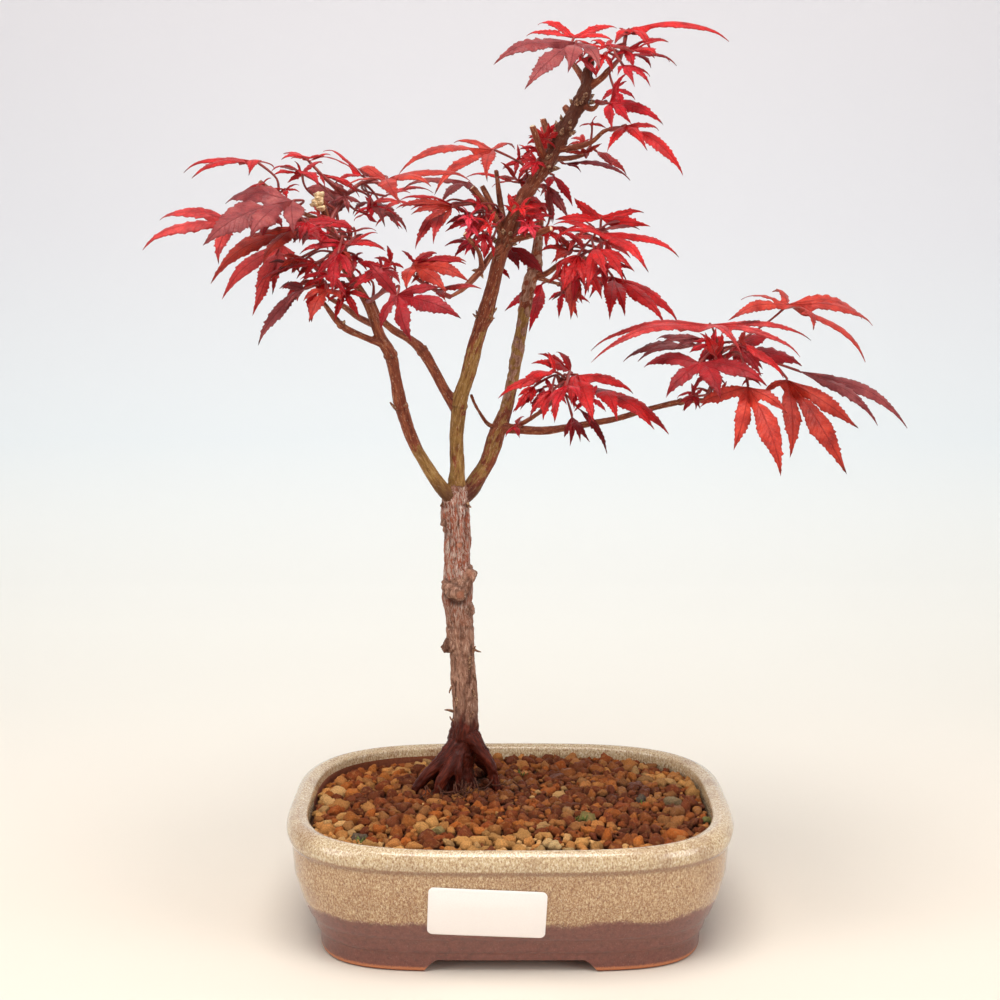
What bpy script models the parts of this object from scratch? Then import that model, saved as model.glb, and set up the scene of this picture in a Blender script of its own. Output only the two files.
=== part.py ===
"""A red-leaved Japanese maple bonsai in a glazed pot: pot, drain nets, soil, blank label, tree and sprays.

Every size and place below is in millimetres from the middle of the pot's foot: X right, Y back, Z up.
The last step moves the whole object so that its origin is the bottom centre of its own box, in metres.
"""

import math
import random
from collections import namedtuple

import bmesh
import bpy
from mathutils import Vector

MM = 0.001
GAP = 0.35

# Pot
RIM_HALF_X = 96.0
RIM_HALF_Y = 72.0
RIM_HEIGHT = 55.5
FRONT_SHARE = 0.8
RIM_SQUARENESS = 3.3
FOOT_SQUARENESS = 4.4
POT_STEPS = 36
RECESS_TOP = 5.5
FLOOR_TOP = 10.8
FRONT_WINDOW = 63.0
SIDE_WINDOW = 40.0
WINDOW_FLARE = 4.5
DRAIN_RADIUS = 6.0
DRAIN_OFFSET = 42.0
# The pot's outline from under the floor, round the foot, up the body and rim bead and down inside to the
# floor, as (inset, height). An inset is how far the wall stands in from the rim at the sides, and at the
# front and back the wall stands in by FRONT_SHARE of it
POT_PROFILE = [
    (24.4, RECESS_TOP), (23.6, 0.0), (15.4, 0.0), (14.4, 0.9), (13.9, 8.4), (12.2, 9.8), (11.2, 14.8),
    (9.4, 16.4), (6.2, 24.0), (3.4, 33.0), (2.4, 43.4), (2.1, 45.6), (0.8, 47.2), (0.0, 50.4), (1.2, 53.8),
    (4.7, RIM_HEIGHT), (8.8, 54.2), (9.6, 49.5), (9.8, 40.0), (12.5, 26.0), (17.0, 16.0), (24.0, FLOOR_TOP),
]
OUTER_WALL = POT_PROFILE[3:12]
INNER_WALL = POT_PROFILE[-5:]

# Drain nets
NET_SIDE = 22.0
NET_THICK = 0.9
NET_HOLES = 3
NET_BAR = 1.6

# Soil
SOIL_EDGE_HEIGHT = 46.5
SOIL_DOME = 5.5
GRAIN_SPACING = 10.5
GRAIN_RISE = 2.3
SOIL_SEED = 5

# Label stuck on the front wall
LABEL_MIDDLE = (-9.5, 29.0)
LABEL_SIZE = (47.5, 20.5)
LABEL_TILT = 2.5
LABEL_THICK = 0.6

# Leaf form. A leaf given by one tip gets these lobes: (degrees from the middle lobe, share of its length)
SPREAD = [(-84, 0.46), (-38, 0.86), (0, 1.0), (38, 0.86), (84, 0.46)]
BLADE_THICK = 0.65
PETIOLE_RADIUS = 0.55
SHOOT_RADIUS = 1.0
ARCH = 0.115
SIDE_DROOP = 0.6
LOBE_HALF_WIDTH = 0.1
SINUS_REACH = 0.25
LEAST_SINUS = 1.3
LONG_LOBE = 24.0
# Where a lobe's cross-sections lie along it, with the share of its full width there
SHORT_SECTIONS = [(0.45, 1.0)]
LONG_SECTIONS = [(0.32, 0.92), (0.64, 0.82)]

Leaf = namedtuple("Leaf", "foot tips face width")
Spray = namedtuple("Spray", "shoot leaves")

# The wood, as centre lines that run from the older wood outwards: each point is (x, y, z, radius)
TRUNK = [
    (-22, 18, 30, 5.6), (-23, 18, 48, 6.6), (-23, 18, 57, 6.3), (-22, 18, 66, 6.5), (-21, 18, 75, 6.7),
    (-20, 18, 84, 5.7), (-20, 18, 96, 5.6), (-21, 18, 113, 5.8), (-22, 18, 125, 6.0), (-23, 17, 138, 6.4),
    (-23, 17, 145, 6.6), (-23, 17, 156, 6.1), (-23, 16, 167, 6.0), (-24, 16, 178, 6.3),
    (-24, 16, 187, 5.4),
]
ROOTS = [
    [(-17, 15, 73, 4.4), (-9, 13, 67, 3.4), (-5, 11, 59, 2.9), (-3, 9, 51, 2.6), (-2, 8, 44, 2.0)],
    [(-25, 15, 70, 4.2), (-32, 14, 64, 3.4), (-38, 12, 57, 3.0), (-42, 11, 50, 2.5), (-45, 10, 44, 1.8)],
    [(-24, 13, 68, 3.6), (-28, 9, 60, 3.0), (-32, 5, 54, 2.6), (-35, 2, 46, 2.0)],
    [(-21, 14, 67, 3.2), (-21, 9, 59, 2.3), (-22, 7, 50, 1.8)],
    [(-25, 20, 68, 4.4), (-32, 24, 60, 3.6), (-39, 27, 51, 2.6), (-44, 29, 44, 1.8)],
    [(-18, 22, 68, 4.4), (-12, 29, 59, 3.4), (-8, 35, 51, 2.6), (-5, 39, 44, 1.8)],
]
BRANCHES = {
    "leader": [
        (-24, 16, 182, 4.9), (-23, 15, 196, 3.4), (-23, 14, 210, 3.1), (-22, 13, 225, 3.4),
        (-18, 12, 239, 3.3), (-13, 11, 258, 3.2), (-11, 11, 263, 3.6), (-8, 11, 274, 3.1),
        (-4, 10, 290, 3.0), (-2, 10, 295, 3.7), (3, 10, 308, 2.9), (9, 11, 318, 2.9),
        (15, 12, 327, 3.2), (19, 13, 334, 3.2), (23, 14, 341, 3.5), (27, 15, 348, 3.3),
        (30, 15, 353, 3.0), (32, 15, 359, 2.7), (33, 15, 366, 2.0), (35, 15, 374, 1.3),
    ],
    "right_stem": [
        (-22, 18, 184, 4.2), (-17, 20, 188, 3.9), (-10, 24, 199, 3.6), (-5, 28, 213, 3.6),
        (-1, 32, 224, 2.9), (2, 35, 239, 2.8), (6, 38, 261, 2.7), (9, 40, 277, 2.9),
        (11, 41, 282, 3.2), (12, 42, 291, 2.4), (14, 44, 307, 1.8),
    ],
    "left_stem": [
        (-24, 15, 184, 4.0), (-29, 12, 188, 3.2), (-37, 7, 201, 2.7), (-42, 3, 212, 2.6),
        (-46, -2, 226, 2.9), (-48, -5, 238, 2.4), (-50, -8, 248, 2.8), (-54, -10, 256, 2.4),
        (-59, -12, 270, 2.0), (-69, -13, 286, 1.7), (-74, -13, 301, 1.6), (-77, -13, 311, 1.6),
    ],
    "inner_left": [
        (-22, 13, 222, 3.0), (-28, 15, 231, 2.4), (-33, 18, 240, 2.2), (-38, 20, 248, 2.5),
        (-44, 22, 253, 1.9), (-51, 23, 257, 1.7), (-57, 24, 263, 1.4), (-60, 24, 271, 1.0),
    ],
    "left_twig_low": [
        (-52, -9, 252, 1.7), (-61, -14, 256, 1.4), (-69, -20, 261, 1.6), (-76, -26, 271, 0.9),
    ],
    "left_twig_up": [
        (-55, -10, 260, 1.6), (-63, -2, 263, 1.5), (-69, 4, 267, 1.4), (-77, 10, 271, 1.0),
    ],
    "leader_twig": [
        (-3, 9, 293, 2.0), (-8, 4, 289, 1.4), (-13, -1, 282, 1.5), (-20, -6, 275, 1.2),
        (-25, -9, 272, 0.9),
    ],
    "lower_right": [
        (-5, 28, 214, 2.6), (4, 25, 213, 2.1), (15, 22, 213, 1.9), (27, 19, 215, 1.6), (46, 14, 219, 1.4),
        (58, 11, 223, 1.3), (73, 7, 227, 1.4), (83, 4, 228, 1.0),
    ],
    "low_twig": [(1, 25, 214, 1.4), (5, 20, 216, 1.2), (13, 12, 222, 1.0)],
    "dead_twig": [(-6, 27, 214, 1.4), (-10, 24, 216, 1.0), (-15, 22, 224, 0.8), (-17, 21, 229, 0.7)],
    "mid_right": [
        (11, 41, 280, 2.0), (16, 36, 281, 1.4), (23, 30, 286, 1.3), (29, 25, 288, 1.3),
        (35, 20, 287, 0.9),
    ],
    "mid_dark": [(11, 42, 280, 1.6), (16, 46, 278, 1.1), (23, 52, 276, 0.9)],
    "crown_right": [(32, 15, 358, 1.8), (38, 13, 362, 1.5), (41, 10, 365, 1.3), (45, 8, 369, 0.9)],
    "crown_left": [(32, 15, 360, 1.7), (29, 18, 365, 1.4), (24, 21, 372, 1.2)],
    "side_loop": [(30, 15, 352, 1.6), (34, 11, 349, 1.1), (37, 7, 352, 0.9)],
    "side_low": [
        (20, 13, 333, 1.6), (24, 10, 333, 1.4), (33, 4, 335, 1.2), (38, -2, 339, 1.0),
        (41, -4, 340, 0.8),
    ],
    "side_back": [(17, 13, 329, 1.6), (26, 22, 330, 1.2), (33, 28, 332, 0.9)],
}
# Pruned stubs and knots
STUBS = [
    [(-3, 9, 296, 1.9), (-8, 4, 307, 1.5), (-16, 2, 317, 1.3)],
    [(-3, 10, 297, 1.7), (-7, 12, 308, 1.4), (-12, 15, 318, 1.2)],
    [(-2, 11, 299, 1.7), (-4, 18, 310, 1.4), (-6, 22, 325, 1.0)],
    [(-1, 9, 295, 1.7), (8, 2, 297, 1.4), (17, -4, 300, 1.3)],
    [(15, 12, 328, 1.7), (12, 6, 334, 1.5), (9, 3, 342, 1.4)],
    [(16, 13, 329, 1.7), (16, 18, 338, 1.5), (14, 21, 346, 1.4)],
    [(-12, 0, 282, 1.2), (-13, -4, 290, 1.0), (-19, -8, 298, 1.2)],
    [(26, 15, 346, 1.9), (23, 19, 351, 1.5)],
    [(-74, -12, 302, 1.3), (-87, -6, 307, 1.0), (-104, 0, 319, 1.3)],
    [(-28, 14, 146, 2.4), (-22.5, 12, 143, 4.4), (-17, 14, 152, 2.6)],
    [(-24, 17, 118, 4.2), (-28, 17, 117, 3.0), (-30, 17, 115, 1.8)],
    [(-19, 16, 134, 4.0), (-16, 15, 134, 2.0)],
    [(-26, 15, 173, 4.2), (-29, 15, 171, 2.2)],
]

# Leafy sprays: the young shoot's centre line, then each leaf's foot, the tips of its lobes (or of its middle
# lobe alone), how far its upper face leans to the front in degrees, and how wide its lobes are
SPRAYS = {
    "left_far": Spray([(-72, -13, 295), (-80, -17, 300), (-88, -20, 305), (-94, -20, 312)], [
        Leaf((-102, -20, 326), [(-130, -26, 322), (-123, -44, 319), (-101, -44, 320),
             (-96, -10, 324)], 20, 1.0),
        Leaf((-85, -40, 310), [(-113, -30, 310), (-116, -62, 293), (-97, -72, 296),
             (-82, -64, 298)], 50, 1.5),
        Leaf((-114, -8, 303), [(-146, 0, 304), (-149, -20, 292), (-117, -30, 286)], 30, 1.1),
        Leaf((-83, -32, 300), [(-116, -52, 279), (-112, -30, 290), (-95, -58, 286)], 30, 1.1),
        Leaf((-95, -4, 294), [(-117, -22, 272), (-102, -36, 266), (-95, -28, 274), (-86, -12, 281)], 50, 1.0),
    ]),
    "left_top": Spray([(-74, -13, 301), (-71, -8, 308), (-66, -4, 315), (-61, 0, 319)], [
        Leaf((-82, -8, 327), [(-92, -12, 330), (-91, -26, 327), (-74, -2, 330)], 25, 1.0),
        Leaf((-83, -22, 322), [(-94, -34, 322), (-75, -36, 316), (-76, -14, 326)], 40, 1.3),
        Leaf((-69, 4, 314), [(-85, 12, 316), (-73, -8, 305)], 55, 1.6),
        Leaf((-62, 7, 322), [(-79, 17, 333), (-80, 1, 329), (-72, -9, 318)], 10, 0.8),
        Leaf((-50, -18, 319), [(-16, -26, 319), (-31, -44, 316), (-43, -52, 309), (-65, -30, 316),
             (-63, 2, 324)], 45, 1.0),
        Leaf((-58, 12, 311), [(-43, 6, 299), (-46, -10, 300), (-51, -20, 301), (-65, -6, 306)], 40, 0.9),
        Leaf((-53, 12, 314), [(-33, 22, 316), (-42, 6, 315)], 20, 0.9),
    ]),
    "left_mid": Spray([(-69, -13, 286), (-67, -20, 291), (-68, -28, 295)], [
        Leaf((-73, -51, 300), [(-59, -65, 299), (-77, -61, 296)], 30, 1.0),
        Leaf((-64, -34, 293), [(-49, -44, 291), (-53, -30, 298)], 20, 1.0),
        Leaf((-67, -46, 290), [(-61, -58, 280), (-68, -60, 275), (-75, -50, 281)], 70, 1.3),
        Leaf((-78, -30, 286), [(-89, -36, 283)], 40, 1.0),
    ]),
    "left_low": Spray([(-63, -13, 277), (-67, -20, 277), (-72, -26, 277), (-77, -30, 277)], [
        Leaf((-81, -38, 276), [(-98, -52, 255), (-93, -24, 276), (-87, -54, 269)], 35, 1.0),
        Leaf((-72, -46, 276), [(-77, -60, 264), (-80, -54, 272), (-65, -58, 272)], 75, 1.5),
        Leaf((-84, -26, 286), [(-101, -34, 276), (-93, -12, 286)], 20, 0.9),
        Leaf((-67, -26, 275), [(-60, -34, 264)], 60, 1.0),
    ]),
    "left_front": Spray([(-59, -12, 270), (-55, -24, 272), (-50, -34, 275), (-47, -40, 275)], [
        Leaf((-44, -52, 274), [(-38, -66, 257), (-19, -66, 266), (-50, -60, 261), (-27, -56, 277),
             (-55, -48, 286)], 72, 1.5),
        Leaf((-50, -32, 284), [(-62, -42, 276), (-61, -24, 286)], 60, 1.2),
    ]),
    "leader_low": Spray([(-25, -9, 272), (-29, -14, 274), (-34, -18, 277)], [
        Leaf((-39, -24, 285), [(-30, -10, 290), (-18, -20, 287), (-17, -36, 279), (-25, -44, 275),
             (-41, -44, 276)], 50, 1.4),
        Leaf((-30, -20, 275), [(-12, -28, 276), (-26, -32, 271)], 40, 1.1),
    ]),
    "centre_left": Spray([(-4, 12, 306), (-9, 20, 308), (-14, 24, 310)], [
        Leaf((-18, 26, 320), [(-46, 14, 317), (-29, 4, 310), (-11, 10, 309)], 25, 0.9),
        Leaf((-29, 13, 309), [(-40, -1, 292), (-32, -9, 294), (-48, 9, 309), (-20, 21, 311)], 40, 1.0),
        Leaf((-12, 16, 305), [(-27, 4, 299), (-17, 22, 311), (-18, -4, 295)], 60, 1.1),
        Leaf((-16, 24, 295), [(-24, 14, 288)], 50, 1.0),
    ]),
    "centre_right": Spray([(-2, 14, 297), (2, 24, 296), (5, 30, 297)], [
        Leaf((17, 32, 310), [(-1, 20, 312), (4, 14, 305), (15, 40, 317)], 55, 1.3),
        Leaf((9, 41, 302), [(-1, 48, 304), (4, 34, 294), (18, 38, 296)], 60, 1.2),
        Leaf((-1, 28, 293), [(15, 26, 281), (4, 18, 283)], 50, 1.6),
    ]),
    "leader_up": Spray([(9, 14, 319), (7, 22, 320), (5, 26, 320)], [
        Leaf((-7, 14, 333), [(-46, -8, 323), (-31, -14, 314), (-10, -14, 319), (-24, 24, 337),
             (2, 34, 335)], 25, 0.85),
        Leaf((2, 40, 321), [(-19, 34, 323), (-8, 43, 319)], 20, 0.9),
        Leaf((19, 30, 323), [(27, 24, 310), (16, 18, 316)], 60, 1.2),
        Leaf((15, 42, 318), [(26, 46, 305), (19, 36, 303)], 30, 1.0),
    ]),
    "upper_back": Spray([(19, 15, 334), (18, 24, 335), (16, 30, 335)], [
        Leaf((17, 34, 336), [(8, 28, 340), (15, 42, 348), (25, 42, 348)], 60, 1.5),
        Leaf((12, 38, 330), [(-3, 28, 326), (4, 40, 337), (3, 24, 320), (9, 20, 321)], 40, 1.0),
        Leaf((23, 24, 328), [(51, 14, 321), (30, 14, 324)], 20, 0.9),
    ]),
    "side_back": Spray([(33, 28, 332), (34, 32, 334), (35, 35, 335)], [
        Leaf((38, 39, 334), [(51, 34, 324), (44, 24, 326)], 45, 1.2),
        Leaf((33, 40, 338), [(27, 46, 340)], 50, 1.3),
    ]),
    "side_low": Spray([(41, -3, 340), (43, -7, 340), (45, -9, 340)], [
        Leaf((47, -10, 341), [(61, -2, 340), (69, -24, 321), (53, -32, 330), (38, -26, 330)], 50, 0.9),
    ]),
    "side_loop": Spray([(36, 8, 352), (38, 3, 351), (39, -2, 351)], [
        Leaf((40, -8, 350), [(47, -10, 362), (53, 2, 350), (61, -20, 341), (47, -30, 340),
             (40, -28, 338)], 65, 1.0),
    ]),
    "crown_left": Spray([(24, 21, 371), (25, 20, 374), (26, 18, 376)], [
        Leaf((27, 8, 376), [(-7, -8, 366), (6, -18, 355), (23, -22, 361), (36, -14, 363)], 50, 1.5),
        Leaf((27, 26, 380), [(7, 30, 382), (12, 40, 388), (46, 36, 386), (43, 16, 378)], 25, 1.0),
    ]),
    "crown_right": Spray([(45, 8, 369), (46, 7, 372), (47, 5, 375)], [
        Leaf((49, 6, 381), [(88, -8, 375), (42, -6, 374), (56, -14, 370)], 20, 0.9),
        Leaf((49, -12, 370), [(62, -18, 373), (57, -30, 366), (38, -24, 369)], 40, 1.3),
        Leaf((51, 14, 372), [(69, 8, 367)], 15, 1.0),
        Leaf((45, -16, 364), [(56, -14, 360), (55, -26, 355), (48, -34, 354), (42, -26, 359)], 40, 0.8),
        Leaf((40, 8, 374), [(34, 20, 378)], 30, 1.0),
    ]),
    "mid_right": Spray([(35, 20, 287), (38, 15, 290), (39, 10, 295)], [
        Leaf((38, 6, 304), [(27, 16, 313), (56, 6, 307), (57, -10, 301), (19, 8, 304)], 35, 1.1),
        Leaf((38, -8, 298), [(68, -22, 289), (54, -36, 283), (18, 0, 302), (19, -20, 297)], 40, 1.0),
        Leaf((34, -16, 292), [(49, -32, 283), (44, -42, 279), (37, -46, 281), (30, -40, 275)], 55, 1.0),
        Leaf((44, 16, 280), [(72, 8, 261), (64, -10, 261), (47, -16, 265), (40, -22, 264),
             (33, -6, 272)], 30, 1.0),
        Leaf((25, 6, 284), [(25, -10, 263), (16, 4, 277), (30, 0, 269)], 65, 1.3),
        Leaf((27, 10, 291), [(16, 16, 299), (13, 8, 291), (17, -2, 286)], 40, 1.1),
    ]),
    "mid_dark": Spray([(22, 51, 276), (24, 54, 276), (25, 58, 276)], [
        Leaf((15, 64, 276), [(-2, 56, 264), (9, 50, 255)], 40, 1.2),
        Leaf((24, 58, 273), [(31, 52, 261)], 60, 1.0),
    ]),
    "low_near": Spray([(13, 13, 222), (18, 8, 227), (22, 4, 233)], [
        Leaf((26, 6, 240), [(12, 4, 248), (9, -8, 245), (20, 18, 248)], 35, 1.2),
        Leaf((28, -12, 240), [(51, -14, 233), (33, -40, 224), (24, -40, 231)], 45, 1.3),
        Leaf((22, -38, 238), [(16, -52, 228), (13, -44, 230), (27, -56, 233)], 65, 1.0),
        Leaf((19, -8, 241), [(-5, -16, 231), (4, -28, 237), (16, -2, 249)], 30, 1.1),
        Leaf((35, 2, 234), [(67, -6, 215), (59, -22, 219), (43, -34, 224)], 35, 1.1),
        Leaf((14, -2, 234), [(1, -14, 225), (4, -22, 227), (8, -26, 224)], 55, 1.0),
        Leaf((26, -4, 222), [(25, -10, 210), (29, -18, 213), (33, -12, 212), (23, 2, 212)], 60, 0.9),
        Leaf((29, 2, 225), [(41, -4, 206), (40, 8, 212)], 40, 0.7),
    ]),
    "low_small": Spray([(5, 25, 216), (4, 19, 216), (3, 16, 216)], [
        Leaf((2, 13, 216), [(6, 6, 221), (-2, 8, 212), (4, 4, 212)], 50, 1.2),
    ]),
    "far_right": Spray([(83, 4, 228), (85, 0, 234), (86, -4, 241), (88, -6, 249)], [
        Leaf((115, -8, 269), [(144, -26, 247), (151, -6, 261), (150, 8, 263), (121, -34, 260),
             (89, -20, 263), (97, 2, 271), (112, 12, 274)], 15, 0.85),
        Leaf((82, -14, 261), [(32, -36, 248), (33, -12, 251), (90, -48, 251), (116, -34, 250),
             (124, -14, 255)], 10, 0.6),
        Leaf((93, -24, 254), [(109, -36, 241), (94, -34, 259)], 30, 1.0),
        Leaf((77, -24, 246), [(55, -14, 244), (62, -34, 233), (82, -48, 234), (102, -38, 238)], 45, 1.4),
        Leaf((80, 10, 251), [(49, 20, 244), (54, 2, 245), (64, 26, 253)], 30, 1.0),
        Leaf((96, 8, 250), [(124, 4, 243), (112, 18, 254)], 40, 1.7),
        Leaf((95, -34, 237), [(77, -22, 229), (88, -46, 213), (106, -54, 204), (110, -40, 227)], 60, 1.2),
        Leaf((115, -10, 238), [(106, -4, 231), (114, -30, 208), (135, -36, 202), (142, -24, 219)], 60, 1.1),
        Leaf((124, 10, 240), [(169, 0, 217), (153, -14, 220)], 30, 0.8),
        Leaf((77, -2, 232), [(71, 4, 229), (72, -10, 225), (77, -14, 226), (80, -4, 237)], 50, 1.2),
        Leaf((85, -14, 236), [(79, -22, 240)], 50, 1.0),
        Leaf((84, -19, 248), [(78, -29, 258), (86, -21, 258)], 70, 1.5),
    ]),
}


def clear_scene():
    for obj in list(bpy.data.objects):
        bpy.data.objects.remove(obj)


def material(name, colour, roughness, metallic=0.0):
    made = bpy.data.materials.new(name)
    made.use_nodes = True
    shader = made.node_tree.nodes["Principled BSDF"]
    shader.inputs["Base Color"].default_value = (*colour, 1.0)
    shader.inputs["Roughness"].default_value = roughness
    shader.inputs["Metallic"].default_value = metallic
    return made


def mesh_object(name, points, faces, look=None):
    """A named object from points in millimetres."""
    mesh = bpy.data.meshes.new(name)
    mesh.from_pydata([Vector(p) * MM for p in points], [], faces)
    mesh.validate()
    bm = bmesh.new()
    bm.from_mesh(mesh)
    bmesh.ops.recalc_face_normals(bm, faces=bm.faces)
    bm.to_mesh(mesh)
    bm.free()
    obj = bpy.data.objects.new(name, mesh)
    bpy.context.scene.collection.objects.link(obj)
    if look:
        mesh.materials.append(look)
    return obj


def apply_boolean(obj, others, operation):
    """Joins or cuts obj with the others in one Boolean over a collection, then removes them."""
    group = bpy.data.collections.new(obj.name + "_others")
    bpy.context.scene.collection.children.link(group)
    for other in others:
        bpy.context.scene.collection.objects.unlink(other)
        group.objects.link(other)
    modifier = obj.modifiers.new("join", "BOOLEAN")
    modifier.operation = operation
    modifier.operand_type = "COLLECTION"
    modifier.collection = group
    modifier.solver = "EXACT"
    bpy.context.view_layer.update()
    graph = bpy.context.evaluated_depsgraph_get()
    joined = bpy.data.meshes.new_from_object(obj.evaluated_get(graph))
    obj.modifiers.remove(modifier)
    obj.data = joined
    for other in others:
        bpy.data.objects.remove(other)
    bpy.data.collections.remove(group)
    return obj


def largest_body(obj, weld=0.001):
    """Welds near-equal points and keeps only the biggest connected body."""
    bm = bmesh.new()
    bm.from_mesh(obj.data)
    bmesh.ops.remove_doubles(bm, verts=bm.verts, dist=weld * MM)
    bmesh.ops.triangulate(bm, faces=bm.faces)
    bodies, seen = [], set()
    for start in bm.verts:
        if start in seen:
            continue
        body, stack = [], [start]
        seen.add(start)
        while stack:
            point = stack.pop()
            body.append(point)
            for edge in point.link_edges:
                other = edge.other_vert(point)
                if other not in seen:
                    seen.add(other)
                    stack.append(other)
        bodies.append(body)
    bodies.sort(key=len)
    bmesh.ops.delete(bm, geom=[point for body in bodies[:-1] for point in body], context="VERTS")
    bm.to_mesh(obj.data)
    bm.free()
    return obj


def tube(name, line, sides, grow=0.0, look=None):
    """A closed tapering tube along (x, y, z, radius) points, made bigger by grow all over."""
    places = [Vector(p[:3]) for p in line]
    if grow:
        places[0] = places[0] + (places[0] - places[1]).normalized() * grow
        places[-1] = places[-1] + (places[-1] - places[-2]).normalized() * grow
    across = Vector((0.31, -0.9, 0.2))
    points, faces = [], []
    for i, place in enumerate(places):
        ahead = places[min(i + 1, len(places) - 1)] - places[max(i - 1, 0)]
        ahead.normalize()
        across = (across - across.dot(ahead) * ahead).normalized()
        other = ahead.cross(across)
        for k in range(sides):
            angle = 2 * math.pi * k / sides
            reach = line[i][3] + grow
            points.append(place + across * (reach * math.cos(angle)) + other * (reach * math.sin(angle)))
    for i in range(len(places) - 1):
        for k in range(sides):
            a, b = i * sides + k, i * sides + (k + 1) % sides
            faces.append((a, b, b + sides, a + sides))
    faces.append(tuple(range(sides))[::-1])
    last = (len(places) - 1) * sides
    faces.append(tuple(range(last, last + sides)))
    return mesh_object(name, points, faces, look)


def squareness(height):
    """How square the pot's outline is at a height, from round-cornered at the rim to squarer at the foot."""
    share = max(0.0, min(1.0, height / RIM_HEIGHT))
    return FOOT_SQUARENESS + (RIM_SQUARENESS - FOOT_SQUARENESS) * share


def oval(inset, height, steps=POT_STEPS):
    """The pot's rounded-oblong outline at a height, drawn in by inset at the sides."""
    half_x, half_y = RIM_HALF_X - inset, RIM_HALF_Y - FRONT_SHARE * inset
    power = 2 / squareness(height)
    points = []
    for k in range(steps):
        c, s = math.cos(2 * math.pi * k / steps), math.sin(2 * math.pi * k / steps)
        x, y = abs(c) ** power * half_x, abs(s) ** power * half_y
        points.append((math.copysign(x, c), math.copysign(y, s)))
    return points


def lofted(name, profile, steps=POT_STEPS, look=None):
    """Rings of the pot's outline at each (inset, height), closed by a flat face at both ends."""
    points, faces = [], []
    for inset, height in profile:
        points += [(x, y, height) for x, y in oval(inset, height, steps)]
    for i in range(len(profile) - 1):
        for k in range(steps):
            a, b = i * steps + k, i * steps + (k + 1) % steps
            faces.append((a, b, b + steps, a + steps))
    faces.append(tuple(range(steps)))
    last = (len(profile) - 1) * steps
    faces.append(tuple(range(last, last + steps))[::-1])
    return mesh_object(name, points, faces, look)


def block(name, low, high, look=None):
    (x0, y0, z0), (x1, y1, z1) = low, high
    points = [(x, y, z) for z in (z0, z1) for y in (y0, y1) for x in (x0, x1)]
    faces = [(0, 1, 3, 2), (4, 6, 7, 5), (0, 4, 5, 1), (2, 3, 7, 6), (0, 2, 6, 4), (1, 5, 7, 3)]
    return mesh_object(name, points, faces, look)


def window(name, half, axis):
    """A cutter right through under the floor, wider at the bottom, that parts the feet."""
    past, low = RIM_HALF_X + 5, -1.0
    wide = half + WINDOW_FLARE * (RECESS_TOP - low) / RECESS_TOP
    section = [(-wide, low), (wide, low), (half, RECESS_TOP), (-half, RECESS_TOP)]
    points = []
    for end in (-past, past):
        points += [(across, end, z) if axis == 0 else (end, across, z) for across, z in section]
    faces = [(0, 1, 2, 3), (7, 6, 5, 4), (0, 4, 5, 1), (1, 5, 6, 2), (2, 6, 7, 3), (3, 7, 4, 0)]
    return mesh_object(name, points, faces)


def drain_places():
    return (-DRAIN_OFFSET, DRAIN_OFFSET)


def build_pot(look):
    pot = lofted("pot", POT_PROFILE, look=look)
    apply_boolean(pot, [window("front_window", FRONT_WINDOW / 2, 0)], "DIFFERENCE")
    apply_boolean(pot, [window("side_window", SIDE_WINDOW / 2, 1)], "DIFFERENCE")
    drains = [
        tube("drain", [(x, 0, RECESS_TOP - 2, DRAIN_RADIUS), (x, 0, FLOOR_TOP + 2, DRAIN_RADIUS)], 14)
        for x in drain_places()
    ]
    apply_boolean(pot, drains, "DIFFERENCE")
    return largest_body(pot)


def build_nets(look):
    """A square plastic net over each drain hole."""
    pitch = (NET_SIDE - NET_BAR) / NET_HOLES
    low = FLOOR_TOP + GAP
    for name, x in zip(("drain_net_left", "drain_net_right"), drain_places()):
        edge = NET_SIDE / 2
        net = block(name, (x - edge, -edge, low), (x + edge, edge, low + NET_THICK), look)
        holes = []
        for i in range(NET_HOLES):
            for j in range(NET_HOLES):
                left, front = x - edge + NET_BAR + i * pitch, -edge + NET_BAR + j * pitch
                size = pitch - NET_BAR
                high = (left + size, front + size, low + NET_THICK + 1)
                holes.append(block("hole", (left, front, low - 1), high))
        apply_boolean(net, holes, "DIFFERENCE")
        largest_body(net)


def soil_height(x, y):
    """The smooth level of the soil: domed, and lower at the left back."""
    share = min(1.0, (x / RIM_HALF_X) ** 2 + (y / RIM_HALF_Y) ** 2)
    lean = 1.6 * max(0.0, -x / RIM_HALF_X) * max(0.0, y / RIM_HALF_Y)
    return SOIL_EDGE_HEIGHT + SOIL_DOME * (1 - share) - 2.5 * lean


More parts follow.
